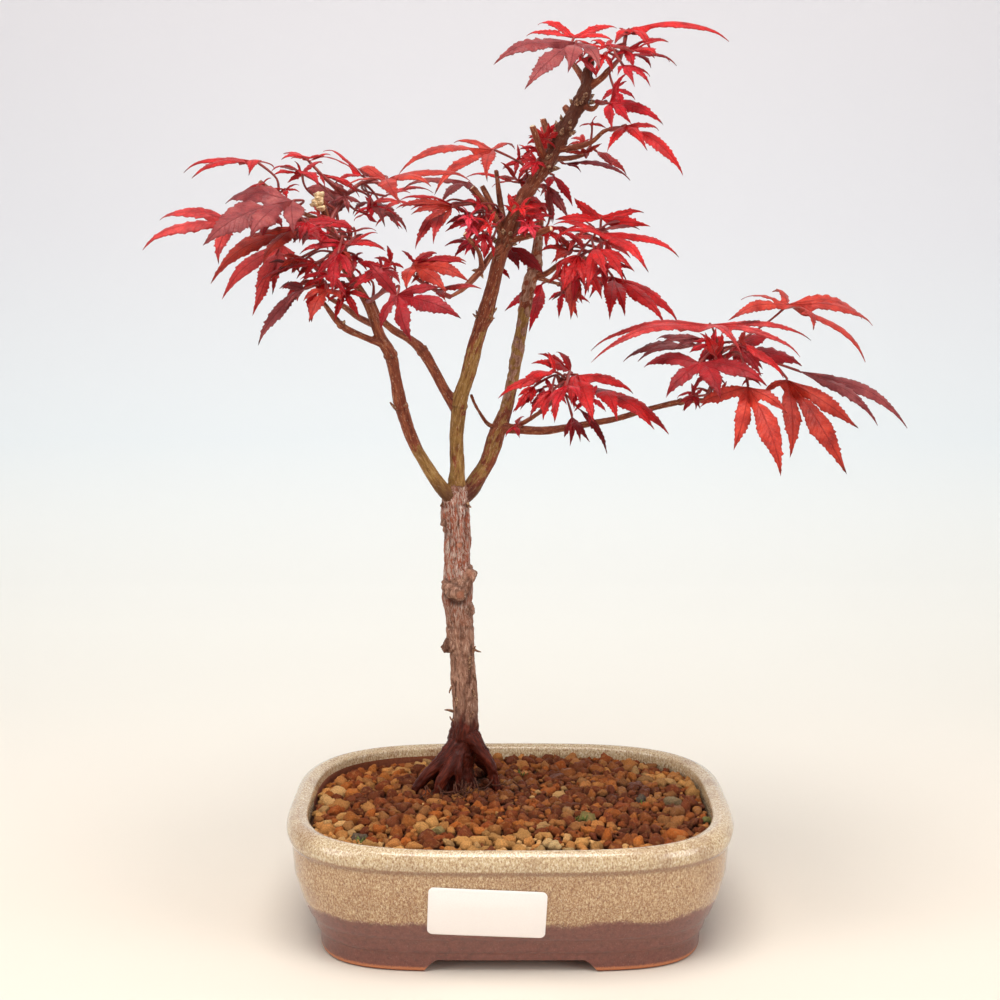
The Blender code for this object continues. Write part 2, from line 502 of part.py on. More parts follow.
def build_soil(look):
    """Soil that fills the pot, its top raised into rounded grains."""
    draw = random.Random(SOIL_SEED)
    columns = int(2 * RIM_HALF_X / GRAIN_SPACING) + 1
    rows = int(2 * RIM_HALF_Y / GRAIN_SPACING) + 1
    left, front = -columns * GRAIN_SPACING / 2, -rows * GRAIN_SPACING / 2
    bottom = FLOOR_TOP + GAP
    points, faces = [], []
    for j in range(rows + 1):
        for i in range(columns + 1):
            inside = 0 < i < columns and 0 < j < rows
            shift = 0.26 * GRAIN_SPACING if inside else 0.0
            x = left + i * GRAIN_SPACING + draw.uniform(-shift, shift)
            y = front + j * GRAIN_SPACING + draw.uniform(-shift, shift)
            points.append((x, y, soil_height(x, y) - draw.uniform(0, 0.8)))
    corner = lambda i, j: j * (columns + 1) + i
    for j in range(rows):
        for i in range(columns):
            ring = [corner(i, j), corner(i + 1, j), corner(i + 1, j + 1), corner(i, j + 1)]
            x = sum(points[k][0] for k in ring) / 4
            y = sum(points[k][1] for k in ring) / 4
            points.append((x, y, soil_height(x, y) + GRAIN_RISE * draw.uniform(0.5, 1.2)))
            top = len(points) - 1
            faces += [(ring[k], ring[(k + 1) % 4], top) for k in range(4)]
    rim = [corner(i, 0) for i in range(columns)] + [corner(columns, j) for j in range(rows)]
    rim += [corner(i, rows) for i in range(columns, 0, -1)] + [corner(0, j) for j in range(rows, 0, -1)]
    base = len(points)
    points += [(points[k][0], points[k][1], bottom - 5) for k in rim]
    count = len(rim)
    for k in range(count):
        n = (k + 1) % count
        faces.append((rim[k], base + k, base + n, rim[n]))
    faces.append(tuple(range(base, base + count)))
    soil = mesh_object("soil", points, faces, look)
    inner = [(inset + GAP / FRONT_SHARE, height) for inset, height in INNER_WALL]
    inner = [(inner[0][0], 70.0)] + inner[:-1] + [(inner[-1][0], bottom)]
    apply_boolean(soil, [lofted("cavity", inner)], "INTERSECT")
    edge = NET_SIDE / 2 + GAP
    for x in drain_places():
        pocket = block("pocket", (x - edge, -edge, 0), (x + edge, edge, FLOOR_TOP + 2 * GAP + NET_THICK))
        apply_boolean(soil, [pocket], "DIFFERENCE")
    for line, sides in [(TRUNK[:4], 10)] + [(root, 6) for root in ROOTS]:
        apply_boolean(soil, [tube("root_hole", line, sides, grow=GAP)], "DIFFERENCE")
    return largest_body(soil)


def wall_inset(height):
    """The outer wall's inset at a height, read along the body stretch of the profile."""
    for (inset_a, z_a), (inset_b, z_b) in zip(OUTER_WALL, OUTER_WALL[1:]):
        if z_a <= height <= z_b:
            return inset_a + (inset_b - inset_a) * (height - z_a) / (z_b - z_a)
    return OUTER_WALL[-1][0]


def front_wall(x, height, stand_off):
    """The point of the front wall at x and height, moved out by stand_off."""
    inset = wall_inset(height)
    half_x, half_y = RIM_HALF_X - inset + stand_off, RIM_HALF_Y - FRONT_SHARE * inset + stand_off
    power = squareness(height)
    share = 1 - abs(x / half_x) ** power
    return (x, -half_y * share ** (1 / power), height)


def build_label(look):
    """A blank paper label, bent to the front wall."""
    columns, rows = 8, 4
    tilt = math.radians(LABEL_TILT)
    points, faces = [], []
    for stand_off in (2 * GAP, 2 * GAP + LABEL_THICK):
        for j in range(rows + 1):
            for i in range(columns + 1):
                u, v = LABEL_SIZE[0] * (i / columns - 0.5), LABEL_SIZE[1] * (j / rows - 0.5)
                x = LABEL_MIDDLE[0] + u * math.cos(tilt) + v * math.sin(tilt)
                z = LABEL_MIDDLE[1] + v * math.cos(tilt) - u * math.sin(tilt)
                points.append(front_wall(x, z, stand_off))
    layer = (columns + 1) * (rows + 1)
    corner = lambda i, j: j * (columns + 1) + i
    for j in range(rows):
        for i in range(columns):
            a, b, c, d = corner(i, j), corner(i + 1, j), corner(i + 1, j + 1), corner(i, j + 1)
            faces += [(a, b, c), (a, c, d)]
            faces += [(a + layer, c + layer, b + layer), (a + layer, d + layer, c + layer)]
    rim = [corner(i, 0) for i in range(columns)] + [corner(columns, j) for j in range(rows)]
    rim += [corner(i, rows) for i in range(columns, 0, -1)] + [corner(0, j) for j in range(rows, 0, -1)]
    for k, a in enumerate(rim):
        b = rim[(k + 1) % len(rim)]
        faces.append((a, a + layer, b + layer, b))
    return mesh_object("label", points, faces, look)


def wood_tubes(grow=0.0):
    """Every stretch of wood as its own tube: trunk, roots, branches, stubs and knots."""
    made = [tube("trunk", TRUNK, 10, grow)]
    made += [tube("root", root, 6, grow) for root in ROOTS]
    for name, line in BRANCHES.items():
        made.append(tube(name, line, 7 if name in ("leader", "right_stem", "left_stem") else 6, grow))
    made += [tube("stub", stub, 5, grow) for stub in STUBS]
    return made


def fused_wood(grow=0.0):
    """The stretches of wood joined one after another."""
    parts = wood_tubes(grow)
    for part in parts[1:]:
        apply_boolean(parts[0], [part], "UNION")
    return parts[0]


def build_tree(look):
    tree = fused_wood()
    tree.name = "tree"
    tree.data.materials.clear()
    tree.data.materials.append(look)
    return largest_body(tree)


def leaf_frame(leaf):
    """The leaf's main direction, its sideways direction and its upper face's normal.

    The main direction is opposite the widest gap between the lobes, where the stalk joins the blade.
    """
    foot = Vector(leaf.foot)
    lobes = [Vector(tip) - foot for tip in leaf.tips]
    mean = sum(lobes, Vector()).normalized()
    lean = math.radians(leaf.face)
    hint = Vector((0, -math.sin(lean), math.cos(lean)))
    normal = (hint - hint.dot(mean) * mean).normalized()
    across = normal.cross(mean)
    angles = sorted(math.atan2(lobe.dot(across), lobe.dot(mean)) for lobe in lobes)
    angles.append(angles[0] + 2 * math.pi)
    gap, start = max((after - before, before) for before, after in zip(angles, angles[1:]))
    turn = start + gap / 2 - math.pi
    along = mean * math.cos(turn) + across * math.sin(turn)
    return along, normal.cross(along), normal


def nearest_on_line(line, place):
    """The point of a poly-line nearest to a place, kept off its two ends."""
    best = None
    for a, b in zip(line, line[1:]):
        a, b = Vector(a), Vector(b)
        share = max(0.1, min(0.95, (place - a).dot(b - a) / (b - a).length_squared))
        point = a + (b - a) * share
        if best is None or (point - place).length < (best - place).length:
            best = point
    return best


def petiole_rings(leaf, base, shoot):
    """Four-cornered rings of the leaf stalk, from just behind the blade's base to inside the shoot."""
    along, sideways, normal = leaf_frame(leaf)
    start = nearest_on_line(shoot, base)
    span = (start - base).length
    middle = base.lerp(start, 0.45) - along * (0.28 * span)
    rings = []
    before = -along
    thick = PETIOLE_RADIUS * 1.2
    for place, ahead, radius in ((middle, start - base, PETIOLE_RADIUS), (start, start - middle, thick)):
        turn = before.rotation_difference(ahead.normalized())
        across, up = turn @ sideways * radius, turn @ normal * radius
        rings.append([place - across + up, place + across + up, place + across - up, place - across - up])
    return rings


def lobe_vectors(leaf, seed):
    """Every lobe as a vector from the leaf's foot to its tip, in order round the leaf."""
    along, sideways, normal = leaf_frame(leaf)
    foot = Vector(leaf.foot)
    lobes = [Vector(tip) - foot for tip in leaf.tips]
    if len(lobes) == 1:
        draw = random.Random(seed)
        reach = lobes[0].length
        lobes = []
        for degrees, share in SPREAD:
            turn, stretch = (draw.uniform(-5, 5), draw.uniform(0.88, 1.1)) if degrees else (0, 1)
            angle, length = math.radians(degrees + turn), reach * share * stretch
            droop = SIDE_DROOP * (1 - math.cos(angle)) / 2
            lobes.append((along * math.cos(angle) + sideways * math.sin(angle) - normal * droop) * length)
    return sorted(lobes, key=lambda lobe: math.atan2(lobe.dot(sideways), lobe.dot(along)))


def sinus(leaf, lobe, other):
    """The inner corner of the blade between two neighbouring lobes."""
    along, sideways, normal = leaf_frame(leaf)
    angles = [math.atan2(each.dot(sideways), each.dot(along)) for each in (lobe, other)]
    middle = sum(angles) / 2
    outward = along * math.cos(middle) + sideways * math.sin(middle)
    between = (lobe + other) * (SINUS_REACH / 2)
    short = max(0.0, LEAST_SINUS - between.dot(outward))
    return Vector(leaf.foot) + between + outward * short


def half_width(leaf, lobe, neighbour, share, fullness):
    """Half a lobe's width at a share of its length, on the side of a neighbour and kept clear of it."""
    width = LOBE_HALF_WIDTH * leaf.width * lobe.length * fullness
    if neighbour is None:
        return width
    room = share * lobe.length * math.tan(min(lobe.angle(neighbour), 2.0) / 2)
    return min(width, 0.8 * room)


def lobe_up(lobe, normal):
    """The upper side of one lobe: the leaf's normal, squared up to the lobe's own direction."""
    return (normal - normal.dot(lobe) / lobe.length_squared * lobe).normalized()


def blade_top(leaf, seed):
    """The upper face: its points, which way is up at each, its triangles and its rim.

    The rim starts and ends at the stalk's two corners.
    """
    along, sideways, normal = leaf_frame(leaf)
    foot = Vector(leaf.foot)
    lobes = lobe_vectors(leaf, seed)
    points = [foot, foot - along * 0.8 - sideways * 0.5, foot - along * 0.8 + sideways * 0.5]
    ups = [normal] * 3
    faces, rim = [(0, 2, 1)], [1]
    for k, lobe in enumerate(lobes):
        before = lobes[k - 1] if k > 0 else None
        after = lobes[k + 1] if k < len(lobes) - 1 else None
        up = lobe_up(lobe, normal)
        across = up.cross(lobe).normalized()
        left, right = rim[-1], 2
        if after is not None:
            right = len(points)
            points.append(sinus(leaf, lobe, after))
            ups.append((up + lobe_up(after, normal)).normalized())
        nears, fars, ribs = [], [], []
        for share, fullness in LONG_SECTIONS if lobe.length > LONG_LOBE else SHORT_SECTIONS:
            ridge = foot + lobe * share + up * (2.6 * ARCH * lobe.length * share * (1 - share * share))
            nears.append(len(points))
            fars.append(len(points) + 1)
            ribs.append(len(points) + 2)
            points.append(ridge - across * half_width(leaf, lobe, before, share, fullness))
            points.append(ridge + across * half_width(leaf, lobe, after, share, fullness))
            points.append(ridge)
        tip = len(points)
        points.append(foot + lobe)
        ups += [up] * (tip + 1 - len(ups))
        faces += [(0, left, ribs[0]), (left, nears[0], ribs[0])]
        faces += [(fars[0], right, ribs[0]), (right, 0, ribs[0])]
        for j in range(len(ribs) - 1):
            faces += [(ribs[j], nears[j], nears[j + 1]), (ribs[j], nears[j + 1], ribs[j + 1])]
            faces += [(ribs[j], ribs[j + 1], fars[j + 1]), (ribs[j], fars[j + 1], fars[j])]
        faces += [(nears[-1], tip, ribs[-1]), (tip, fars[-1], ribs[-1])]
        rim += nears + [tip] + fars[::-1] + [right]
    return points, ups, faces, rim


def leaf_body(name, leaf, shoot, seed):
    """One closed body: a thin palmate blade, arched along each lobe, and its stalk."""
    top, ups, faces, rim = blade_top(leaf, seed)
    count = len(top)
    points = top + [point - up * BLADE_THICK for point, up in zip(top, ups)]
    solid = faces + [(c + count, b + count, a + count) for a, b, c in faces]
    for a, b in zip(rim, rim[1:]):
        solid += [(b, a, a + count), (b, a + count, b + count)]
    ring = [1, 2, 2 + count, 1 + count]
    base = sum((points[corner] for corner in ring), Vector()) / 4
    for corners in petiole_rings(leaf, base, shoot):
        following = list(range(len(points), len(points) + 4))
        points += corners
        solid += [(ring[k], ring[(k + 1) % 4], following[(k + 1) % 4], following[k]) for k in range(4)]
        ring = following
    solid.append(tuple(ring))
    return mesh_object(name, points, solid)


def build_spray(index, name, spray, wood, look):
    """A young shoot with its leaves, fused into one body and cut clear of the wood."""
    radii = [SHOOT_RADIUS * (1.15 - 0.1 * k) for k in range(len(spray.shoot))]
    shoot = tube("spray_" + name, [(*p, r) for p, r in zip(spray.shoot, radii)], 5)
    leaves = [leaf_body("leaf", leaf, spray.shoot, 100 * index + k) for k, leaf in enumerate(spray.leaves)]
    apply_boolean(shoot, leaves, "UNION")
    cutter = wood.copy()
    bpy.context.scene.collection.objects.link(cutter)
    apply_boolean(shoot, [cutter], "DIFFERENCE")
    shoot.data.materials.clear()
    shoot.data.materials.append(look)
    return largest_body(shoot)


def centre_on_base():
    """Moves every mesh so that the origin is the bottom centre of the whole object's box."""
    objects = [obj for obj in bpy.context.scene.objects if obj.type == "MESH"]
    corners = [point.co for obj in objects for point in obj.data.vertices]
    low = Vector([min(c[k] for c in corners) for k in range(3)])
    high = Vector([max(c[k] for c in corners) for k in range(3)])
    shift = -Vector(((low.x + high.x) / 2, (low.y + high.y) / 2, low.z))
    for obj in objects:
        for point in obj.data.vertices:
            point.co += shift


def main():
    clear_scene()
    glaze = material("glaze", (0.42, 0.33, 0.22), 0.25)
    bark = material("bark", (0.23, 0.12, 0.08), 0.75)
    red = material("red_leaf", (0.45, 0.03, 0.03), 0.45)
    grains = material("soil_grains", (0.28, 0.11, 0.05), 0.95)
    paper = material("label_paper", (0.85, 0.82, 0.8), 0.6)
    plastic = material("net_plastic", (0.05, 0.05, 0.05), 0.5)
    build_pot(glaze)
    build_nets(plastic)
    build_soil(grains)
    build_label(paper)
    build_tree(bark)
    wood = fused_wood(GAP)
    for index, (name, spray) in enumerate(SPRAYS.items()):
        build_spray(index, name, spray, wood, red)
    bpy.data.objects.remove(wood)
    centre_on_base()


main()
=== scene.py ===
"""The looks of a red-leaved Japanese maple bonsai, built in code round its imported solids.

Every size and place below is in millimetres from the middle of the pot's foot: X right, Y back, Z up.
mesh_object moves them into the frame, in metres.
"""

import math
import random
from collections import namedtuple

import bmesh
import bpy
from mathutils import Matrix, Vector, kdtree, noise


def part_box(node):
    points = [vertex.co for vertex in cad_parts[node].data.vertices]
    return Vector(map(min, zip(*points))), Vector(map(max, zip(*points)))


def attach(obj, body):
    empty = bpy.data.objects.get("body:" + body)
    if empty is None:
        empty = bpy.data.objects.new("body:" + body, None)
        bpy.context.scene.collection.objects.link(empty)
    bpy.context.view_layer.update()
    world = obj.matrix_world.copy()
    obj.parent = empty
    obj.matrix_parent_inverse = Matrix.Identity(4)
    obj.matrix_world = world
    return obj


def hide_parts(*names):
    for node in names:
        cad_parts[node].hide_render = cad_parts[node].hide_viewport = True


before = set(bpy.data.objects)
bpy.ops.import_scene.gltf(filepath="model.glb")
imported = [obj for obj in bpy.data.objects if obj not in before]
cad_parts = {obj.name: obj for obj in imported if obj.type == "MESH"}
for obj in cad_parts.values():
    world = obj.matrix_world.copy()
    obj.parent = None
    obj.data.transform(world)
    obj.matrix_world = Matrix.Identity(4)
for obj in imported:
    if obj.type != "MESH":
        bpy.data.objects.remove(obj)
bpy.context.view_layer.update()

MM = 0.001
SEEDS = {"soil": 5, "moss": 21, "fine_roots": 8, "folds": 3, "buds": 4, "scraps": 12, "callus": 6}
pot_low, pot_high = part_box("pot")
ORIGIN = Vector(((pot_low.x + pot_high.x) / 2, (pot_low.y + pot_high.y) / 2, pot_low.z))

# Pot
RIM_HALF_X = 96.0
RIM_HALF_Y = 72.0
RIM_HEIGHT = 55.5
FRONT_SHARE = 0.8
RIM_SQUARENESS = 3.3
FOOT_SQUARENESS = 4.4
POT_STEPS = 144
CORNER_ROUND = 1.1
RECESS_TOP = 5.5
FLOOR_TOP = 10.8
FRONT_WINDOW = 63.0
SIDE_WINDOW = 40.0
WINDOW_FLARE = 4.5
DRAIN_RADIUS = 6.0
DRAIN_OFFSET = 42.0
DRAIN_SIDES = 32
DRAIN_PAST = 2
# The bare clay inside reaches this high, and higher at the left back
UNGLAZED_INSIDE = 44
UNGLAZED_BACK = 51
# The pot's section from its underside over the rim and down inside: (inset from the rim, height)
POT_PROFILE = [
    (24.4, RECESS_TOP), (23.6, 0.0), (15.4, 0.0), (14.4, 0.9), (13.9, 8.4), (12.2, 9.8), (11.2, 14.8),
    (9.4, 16.4), (6.2, 24.0), (3.4, 33.0), (2.4, 43.4), (2.1, 45.6), (0.8, 47.2), (0.0, 50.4), (1.2, 53.8),
    (4.7, RIM_HEIGHT), (8.8, 54.2), (9.6, 49.5), (9.8, 40.0), (12.5, 26.0), (17.0, 16.0), (24.0, FLOOR_TOP),
]
OUTER_WALL = POT_PROFILE[3:12]

# Soil
SOIL_EDGE_HEIGHT = 48.6
SOIL_DOME = 3.9
# How far the soil sags towards the left back corner
SOIL_SAG = 2.5
SOIL_SAG_SHARE = 1.6
# The pot's inner wall at the soil, as an inset from the rim, and on down to the floor: (inset, height)
SOIL_INSET = 10.2
BED_WALL = [(10.3, 40), (12.9, 26), (17.4, 16), (24.4, FLOOR_TOP + 0.4)]
BED_STEPS = 96
BED_DEPTH = 1.3
# No grain stands higher than this
GRAIN_TOP = 54.3
# A grain is large or medium from these radii on
LARGE_GRAIN = 2.6
MEDIUM_GRAIN = 1.9
# Grain sizes from big to small: (least radius, most radius, how many places are tried)
GRAIN_SIZES = [(3.1, 4.3, 420), (2.3, 3.1, 2400), (1.6, 2.3, 7000), (1.0, 1.6, 12000)]
# How close two grains may come, as a share of their radii, and the grid that finds a grain's neighbours
GRAIN_SPACING = 0.78
GRID_CELL = 8.0
GRAIN_COLOURS = [
    (0.44, 0.112, 0.018), (0.32, 0.072, 0.012), (0.5, 0.15, 0.028), (0.19, 0.042, 0.009),
    (0.52, 0.2, 0.052), (0.27, 0.056, 0.011), (0.22, 0.046, 0.012),
]
TAN_GRAINS = [(0.66, 0.32, 0.095), (0.62, 0.26, 0.07), (0.72, 0.4, 0.15)]
# Spots where the soil is dry and pale: (x, y, reach)
DRY_SPOTS = [
    (-82, -30, 15), (-86, 2, 9), (-82, 16, 6), (-70, -46, 14), (-31, -36, 7), (0, -50, 12), (12, -52, 14),
    (-20, -54, 11), (26, -54, 12), (46, -58, 9), (-50, -56, 12), (67, 34, 8), (79, 27, 8), (81, 14, 6),
    (-51, 45, 7), (-42, 54, 7), (-15, 13, 4), (23, 8, 5),
]
# Odd grains and pebbles: (x, y, radius, colour)
PEBBLES = [
    (18, -54, 3.4, (0.62, 0.42, 0.19)), (23, -57, 2.4, (0.58, 0.38, 0.16)),
    (12, -57, 2.6, (0.56, 0.34, 0.13)), (15, -49, 2.3, (0.6, 0.38, 0.16)),
    (-30, -38, 3.0, (0.3, 0.22, 0.08)), (33, -24, 4.6, (0.2, 0.15, 0.045)),
    (62, 26, 3.6, (0.5, 0.24, 0.08)), (69, 22, 3.3, (0.54, 0.27, 0.09)), (75, 20, 2.8, (0.48, 0.24, 0.08)),
    (72, -2, 4.0, (0.24, 0.17, 0.09)), (58, -2, 2.8, (0.1, 0.08, 0.06)), (-52, -58, 2.2, (0.13, 0.15, 0.04)),
    (-62, -42, 3.4, (0.16, 0.12, 0.08)), (84, -20, 2.2, (0.22, 0.22, 0.07)), (-12, 44, 3.4, (0.4, 0.2, 0.08)),
]
# Spots where the soil is wet and nearly black: (x, y, reach)
WET_SPOTS = [
    (-47, -14, 9), (-49, -26, 6), (-27, 8, 9), (-9, 2, 9), (-3, 8, 8), (5, 20, 8), (24, 34, 7), (22, -11, 9),
    (58, 12, 9),
]
# Tufts of moss: (x, y, how many blades)
MOSS = [(-62, -47, 12), (30, -27, 7), (5, 30, 6), (60, -6, 4)]

# Label
LABEL_MIDDLE = (-9.5, 29.0)
LABEL_SIZE = (47.5, 21.6)
LABEL_CORNER = 2.2
LABEL_TILT = 2.5
LABEL_THICK = 0.35
LABEL_STAND = 0.35
# How far the front face is drawn in at its edge
LABEL_CURL = 0.12

# Leaf form. A leaf given by one tip gets these lobes: (degrees from the middle lobe, share of its length)
SPREAD = [(-84, 0.46), (-38, 0.86), (0, 1.0), (38, 0.86), (84, 0.46)]
BLADE_THICK = 0.28
PETIOLE_RADIUS = 0.46
SHOOT_RADIUS = 1.0
ARCH = 0.115
TIP_DROOP = 0.022
SIDE_DROOP = 0.6
LOBE_HALF_WIDTH = 0.1
SINUS_REACH = 0.25
LEAST_SINUS = 1.3
SINUS_ROWS = 3
ROW_STEP = 0.95
TOOTH = 0.5
TEETH = (1.0, -0.45, 0.45, -0.35)
# Where the points of a row across a lobe lie, from edge to edge, and which one is on the middle vein
COLUMNS = (-1.0, -0.68, -0.34, 0.0, 0.34, 0.68, 1.0)
MID_COLUMN = 3
STALK_SIDES = 7
SHOOT_SIDES = 9
# A lobe's half width along it, as (share of its length, share of its full width)
LOBE_OUTLINE = [
    (0.0, 0.26), (0.12, 0.52), (0.25, 0.79), (0.4, 1.0), (0.55, 0.95), (0.68, 0.73), (0.8, 0.43), (0.9, 0.2),
    (0.96, 0.09), (1.0, 0.0),
]
TONES = {
    "mauve": (0.26, 0.042, 0.043), "dusky": (0.205, 0.031, 0.03), "burgundy": (0.3, 0.008, 0.013),
    "salmon": (0.5, 0.036, 0.035), "orange": (0.43, 0.031, 0.019), "scarlet": (0.49, 0.008, 0.009),
    "crimson": (0.41, 0.005, 0.011), "pink": (0.64, 0.03, 0.055), "dark": (0.2, 0.007, 0.009),
    "wine": (0.3, 0.009, 0.013), "brick": (0.42, 0.028, 0.015),
}

Leaf = namedtuple("Leaf", "foot tips face width tone")
Spray = namedtuple("Spray", "shoot leaves")
Sample = namedtuple("Sample", "place ahead across along radius ring kind last")

# The wood, as centre lines that run from the older wood outwards: each point is (x, y, z, radius)
TRUNK = [
    (-22, 18, 30, 5.6), (-23, 18, 48, 6.6), (-23, 18, 57, 6.3), (-22, 18, 66, 6.5), (-21, 18, 75, 6.7),
    (-20, 18, 84, 5.7), (-20, 18, 96, 5.6), (-21, 18, 113, 5.8), (-22, 18, 125, 6.0), (-23, 17, 138, 6.4),
    (-23, 17, 145, 6.6), (-23, 17, 156, 6.1), (-23, 16, 167, 6.0), (-24, 16, 178, 6.3),
    (-24, 16, 187, 5.4),
]
ROOTS = [
    [(-17, 15, 76, 4.0), (-12.5, 13, 70, 2.9), (-9, 12, 64.5, 2.4), (-7.2, 12, 58, 2.3), (-6, 11.5, 51, 2.4),
     (-5, 11, 44, 2.0)],
    [(-24, 15, 72, 4.2), (-29, 13, 66.5, 3.3), (-34, 12, 62, 2.9), (-38.5, 12, 57, 2.5), (-42, 12, 52, 2.1),
     (-45, 12, 46, 1.6)],
    [(-23, 13, 69, 3.4), (-26, 9.5, 63.5, 2.8), (-30, 7.5, 58, 2.7), (-32, 6.5, 53, 2.3), (-34, 6, 46, 1.8)],
    [(-22, 13, 70, 2.6), (-23, 9, 63, 1.9), (-23, 8, 57, 1.7), (-23.5, 7.5, 49, 1.5)],
    [(-25, 20, 68, 4.0), (-31, 24, 60, 3.2), (-38, 27, 51, 2.4), (-43, 29, 44, 1.8)],
    [(-18, 22, 68, 4.0), (-12, 29, 59, 3.0), (-8, 35, 51, 2.4), (-5, 39, 44, 1.8)],
]
# The trunk where it goes into the soil, which the grains keep clear of
TRUNK_FOOT = (-21, 18, 50, 7.0)
# Where fine roots come out by the foot: (x, y)
ROOT_TIPS = [(-33, 5), (-27, 5), (-22, 6), (-16, 9), (-8, 9), (-4, 9)]
FINE_ROOTS = 20
FINE_ROOT_RADIUS = 0.36
FINE_ROOT_STRIDE = 2.6
# The trunk's foot, where it widens between the roots
FLARE = [(-21, 18, 80, 5.6), (-22, 18, 72, 6.0), (-23, 18, 64, 6.5), (-23, 18, 56, 7.3), (-23, 18, 46, 8.4)]
BRANCHES = {
    "leader": [
        (-24, 16, 182, 4.9), (-23, 15, 196, 3.4), (-23, 14, 210, 3.1), (-22, 13, 225, 3.4),
        (-18, 12, 239, 3.3), (-13, 11, 258, 3.2), (-11, 11, 263, 3.6), (-8, 11, 274, 3.1),
        (-4, 10, 290, 3.0), (-2, 10, 295, 3.7), (3, 10, 308, 2.9), (9, 11, 318, 2.9),
        (15, 12, 327, 3.4), (19, 13, 334, 3.0), (23, 14, 341, 3.6), (27, 15, 348, 2.9),
        (30, 15, 353, 3.3), (32, 15, 359, 2.7), (33, 15, 366, 2.0), (35, 15, 374, 1.3),
    ],
    "right_stem": [
        (-22, 18, 184, 4.2), (-17, 20, 188, 3.9), (-10, 24, 199, 3.6), (-5, 28, 213, 3.6),
        (-1, 32, 224, 2.9), (2, 35, 239, 2.8), (6, 38, 261, 2.7), (9, 40, 277, 2.9),
        (11, 41, 282, 3.2), (12, 42, 291, 2.4), (14, 44, 307, 1.8),
    ],
    "left_stem": [
        (-24, 15, 184, 4.0), (-29, 12, 188, 3.2), (-37, 7, 201, 2.7), (-42, 3, 212, 2.6),
        (-46, -2, 226, 2.9), (-48, -5, 238, 2.4), (-50, -8, 248, 2.8), (-54, -10, 256, 2.4),
        (-59, -12, 270, 2.0), (-69, -13, 286, 1.7), (-74, -13, 301, 1.6), (-77, -13, 311, 1.6),
    ],
    "inner_left": [
        (-22, 13, 222, 3.0), (-28, 15, 231, 2.4), (-33, 18, 240, 2.2), (-38, 20, 248, 2.5),
        (-44, 22, 253, 1.9), (-51, 23, 257, 1.7), (-57, 24, 263, 1.4), (-60, 24, 271, 1.0),
    ],
    "left_twig_low": [
        (-52, -9, 252, 1.7), (-61, -14, 256, 1.4), (-69, -20, 261, 1.6), (-76, -26, 271, 0.9),
    ],
    "left_twig_up": [
        (-55, -10, 260, 1.6), (-63, -2, 263, 1.5), (-69, 4, 267, 1.4), (-77, 10, 271, 1.0),
    ],
    "leader_twig": [
        (-3, 9, 293, 2.0), (-8, 4, 289, 1.4), (-13, -1, 282, 1.5), (-20, -6, 275, 1.2),
        (-25, -9, 272, 0.9),
    ],
    "lower_right": [
        (-5, 28, 214, 2.6), (4, 25, 213, 2.1), (15, 22, 213, 1.9), (27, 19, 215, 1.6), (46, 14, 219, 1.4),
        (58, 11, 223, 1.3), (73, 7, 227, 1.4), (83, 4, 228, 1.0),
    ],
    "low_twig": [(1, 25, 214, 1.4), (5, 20, 216, 1.2), (13, 12, 222, 1.0)],
    "dead_twig": [(-6, 27, 214, 1.4), (-10, 24, 216, 1.0), (-15, 22, 224, 0.8), (-17, 21, 229, 0.7)],
    "mid_right": [
        (11, 41, 280, 2.0), (16, 36, 281, 1.4), (23, 30, 286, 1.3), (29, 25, 288, 1.3),
        (35, 20, 287, 0.9),
    ],
    "mid_dark": [(11, 42, 280, 1.6), (16, 46, 278, 1.1), (23, 52, 276, 0.9)],
    "crown_right": [(32, 15, 358, 1.8), (38, 13, 362, 1.5), (41, 10, 365, 1.3), (45, 8, 369, 0.9)],
    "crown_left": [(32, 15, 360, 1.7), (29, 18, 365, 1.4), (24, 21, 372, 1.2)],
    "side_loop": [(30, 15, 352, 1.6), (34, 11, 349, 1.1), (37, 7, 352, 0.9)],
    "side_low": [
        (20, 13, 333, 1.6), (24, 10, 333, 1.4), (33, 4, 335, 1.2), (38, -2, 339, 1.0),
        (41, -4, 340, 0.8),
    ],
    "side_back": [(17, 13, 329, 1.6), (26, 22, 330, 1.2), (33, 28, 332, 0.9)],
}
# Pruned stubs and knots
STUBS = [
    [(-3, 9, 296, 1.9), (-8, 4, 307, 1.5), (-16, 2, 317, 1.3)],
    [(-3, 10, 297, 1.7), (-7, 12, 308, 1.4), (-12, 15, 318, 1.2)],
    [(-2, 11, 299, 1.7), (-4, 18, 310, 1.4), (-6, 22, 325, 1.0)],
    [(-1, 9, 295, 1.7), (8, 2, 297, 1.4), (17, -4, 300, 1.3)],
    [(15, 12, 328, 1.7), (12, 6, 334, 1.5), (9, 3, 342, 1.4)],
    [(16, 13, 329, 1.7), (16, 18, 338, 1.5), (14, 21, 346, 1.4)],
    [(-12, 0, 282, 1.2), (-13, -4, 290, 1.0), (-19, -8, 298, 1.2)],
    [(26, 15, 346, 1.9), (23, 19, 351, 1.5)],
    [(-74, -12, 302, 1.3), (-87, -6, 307, 1.0), (-104, 0, 319, 1.3)],
]
# Healed knots, swollen out of the trunk
SWELLINGS = [
    [(-28, 14, 146, 2.4), (-22.5, 12, 143, 4.4), (-17, 14, 152, 2.6)],
    [(-24, 17, 118, 4.2), (-28, 17, 117, 3.0), (-30, 17, 115, 1.8)],
    [(-19, 16, 134, 4.0), (-16, 15, 134, 2.0)],
    [(-26, 15, 173, 4.2), (-29, 15, 171, 2.2)],
]
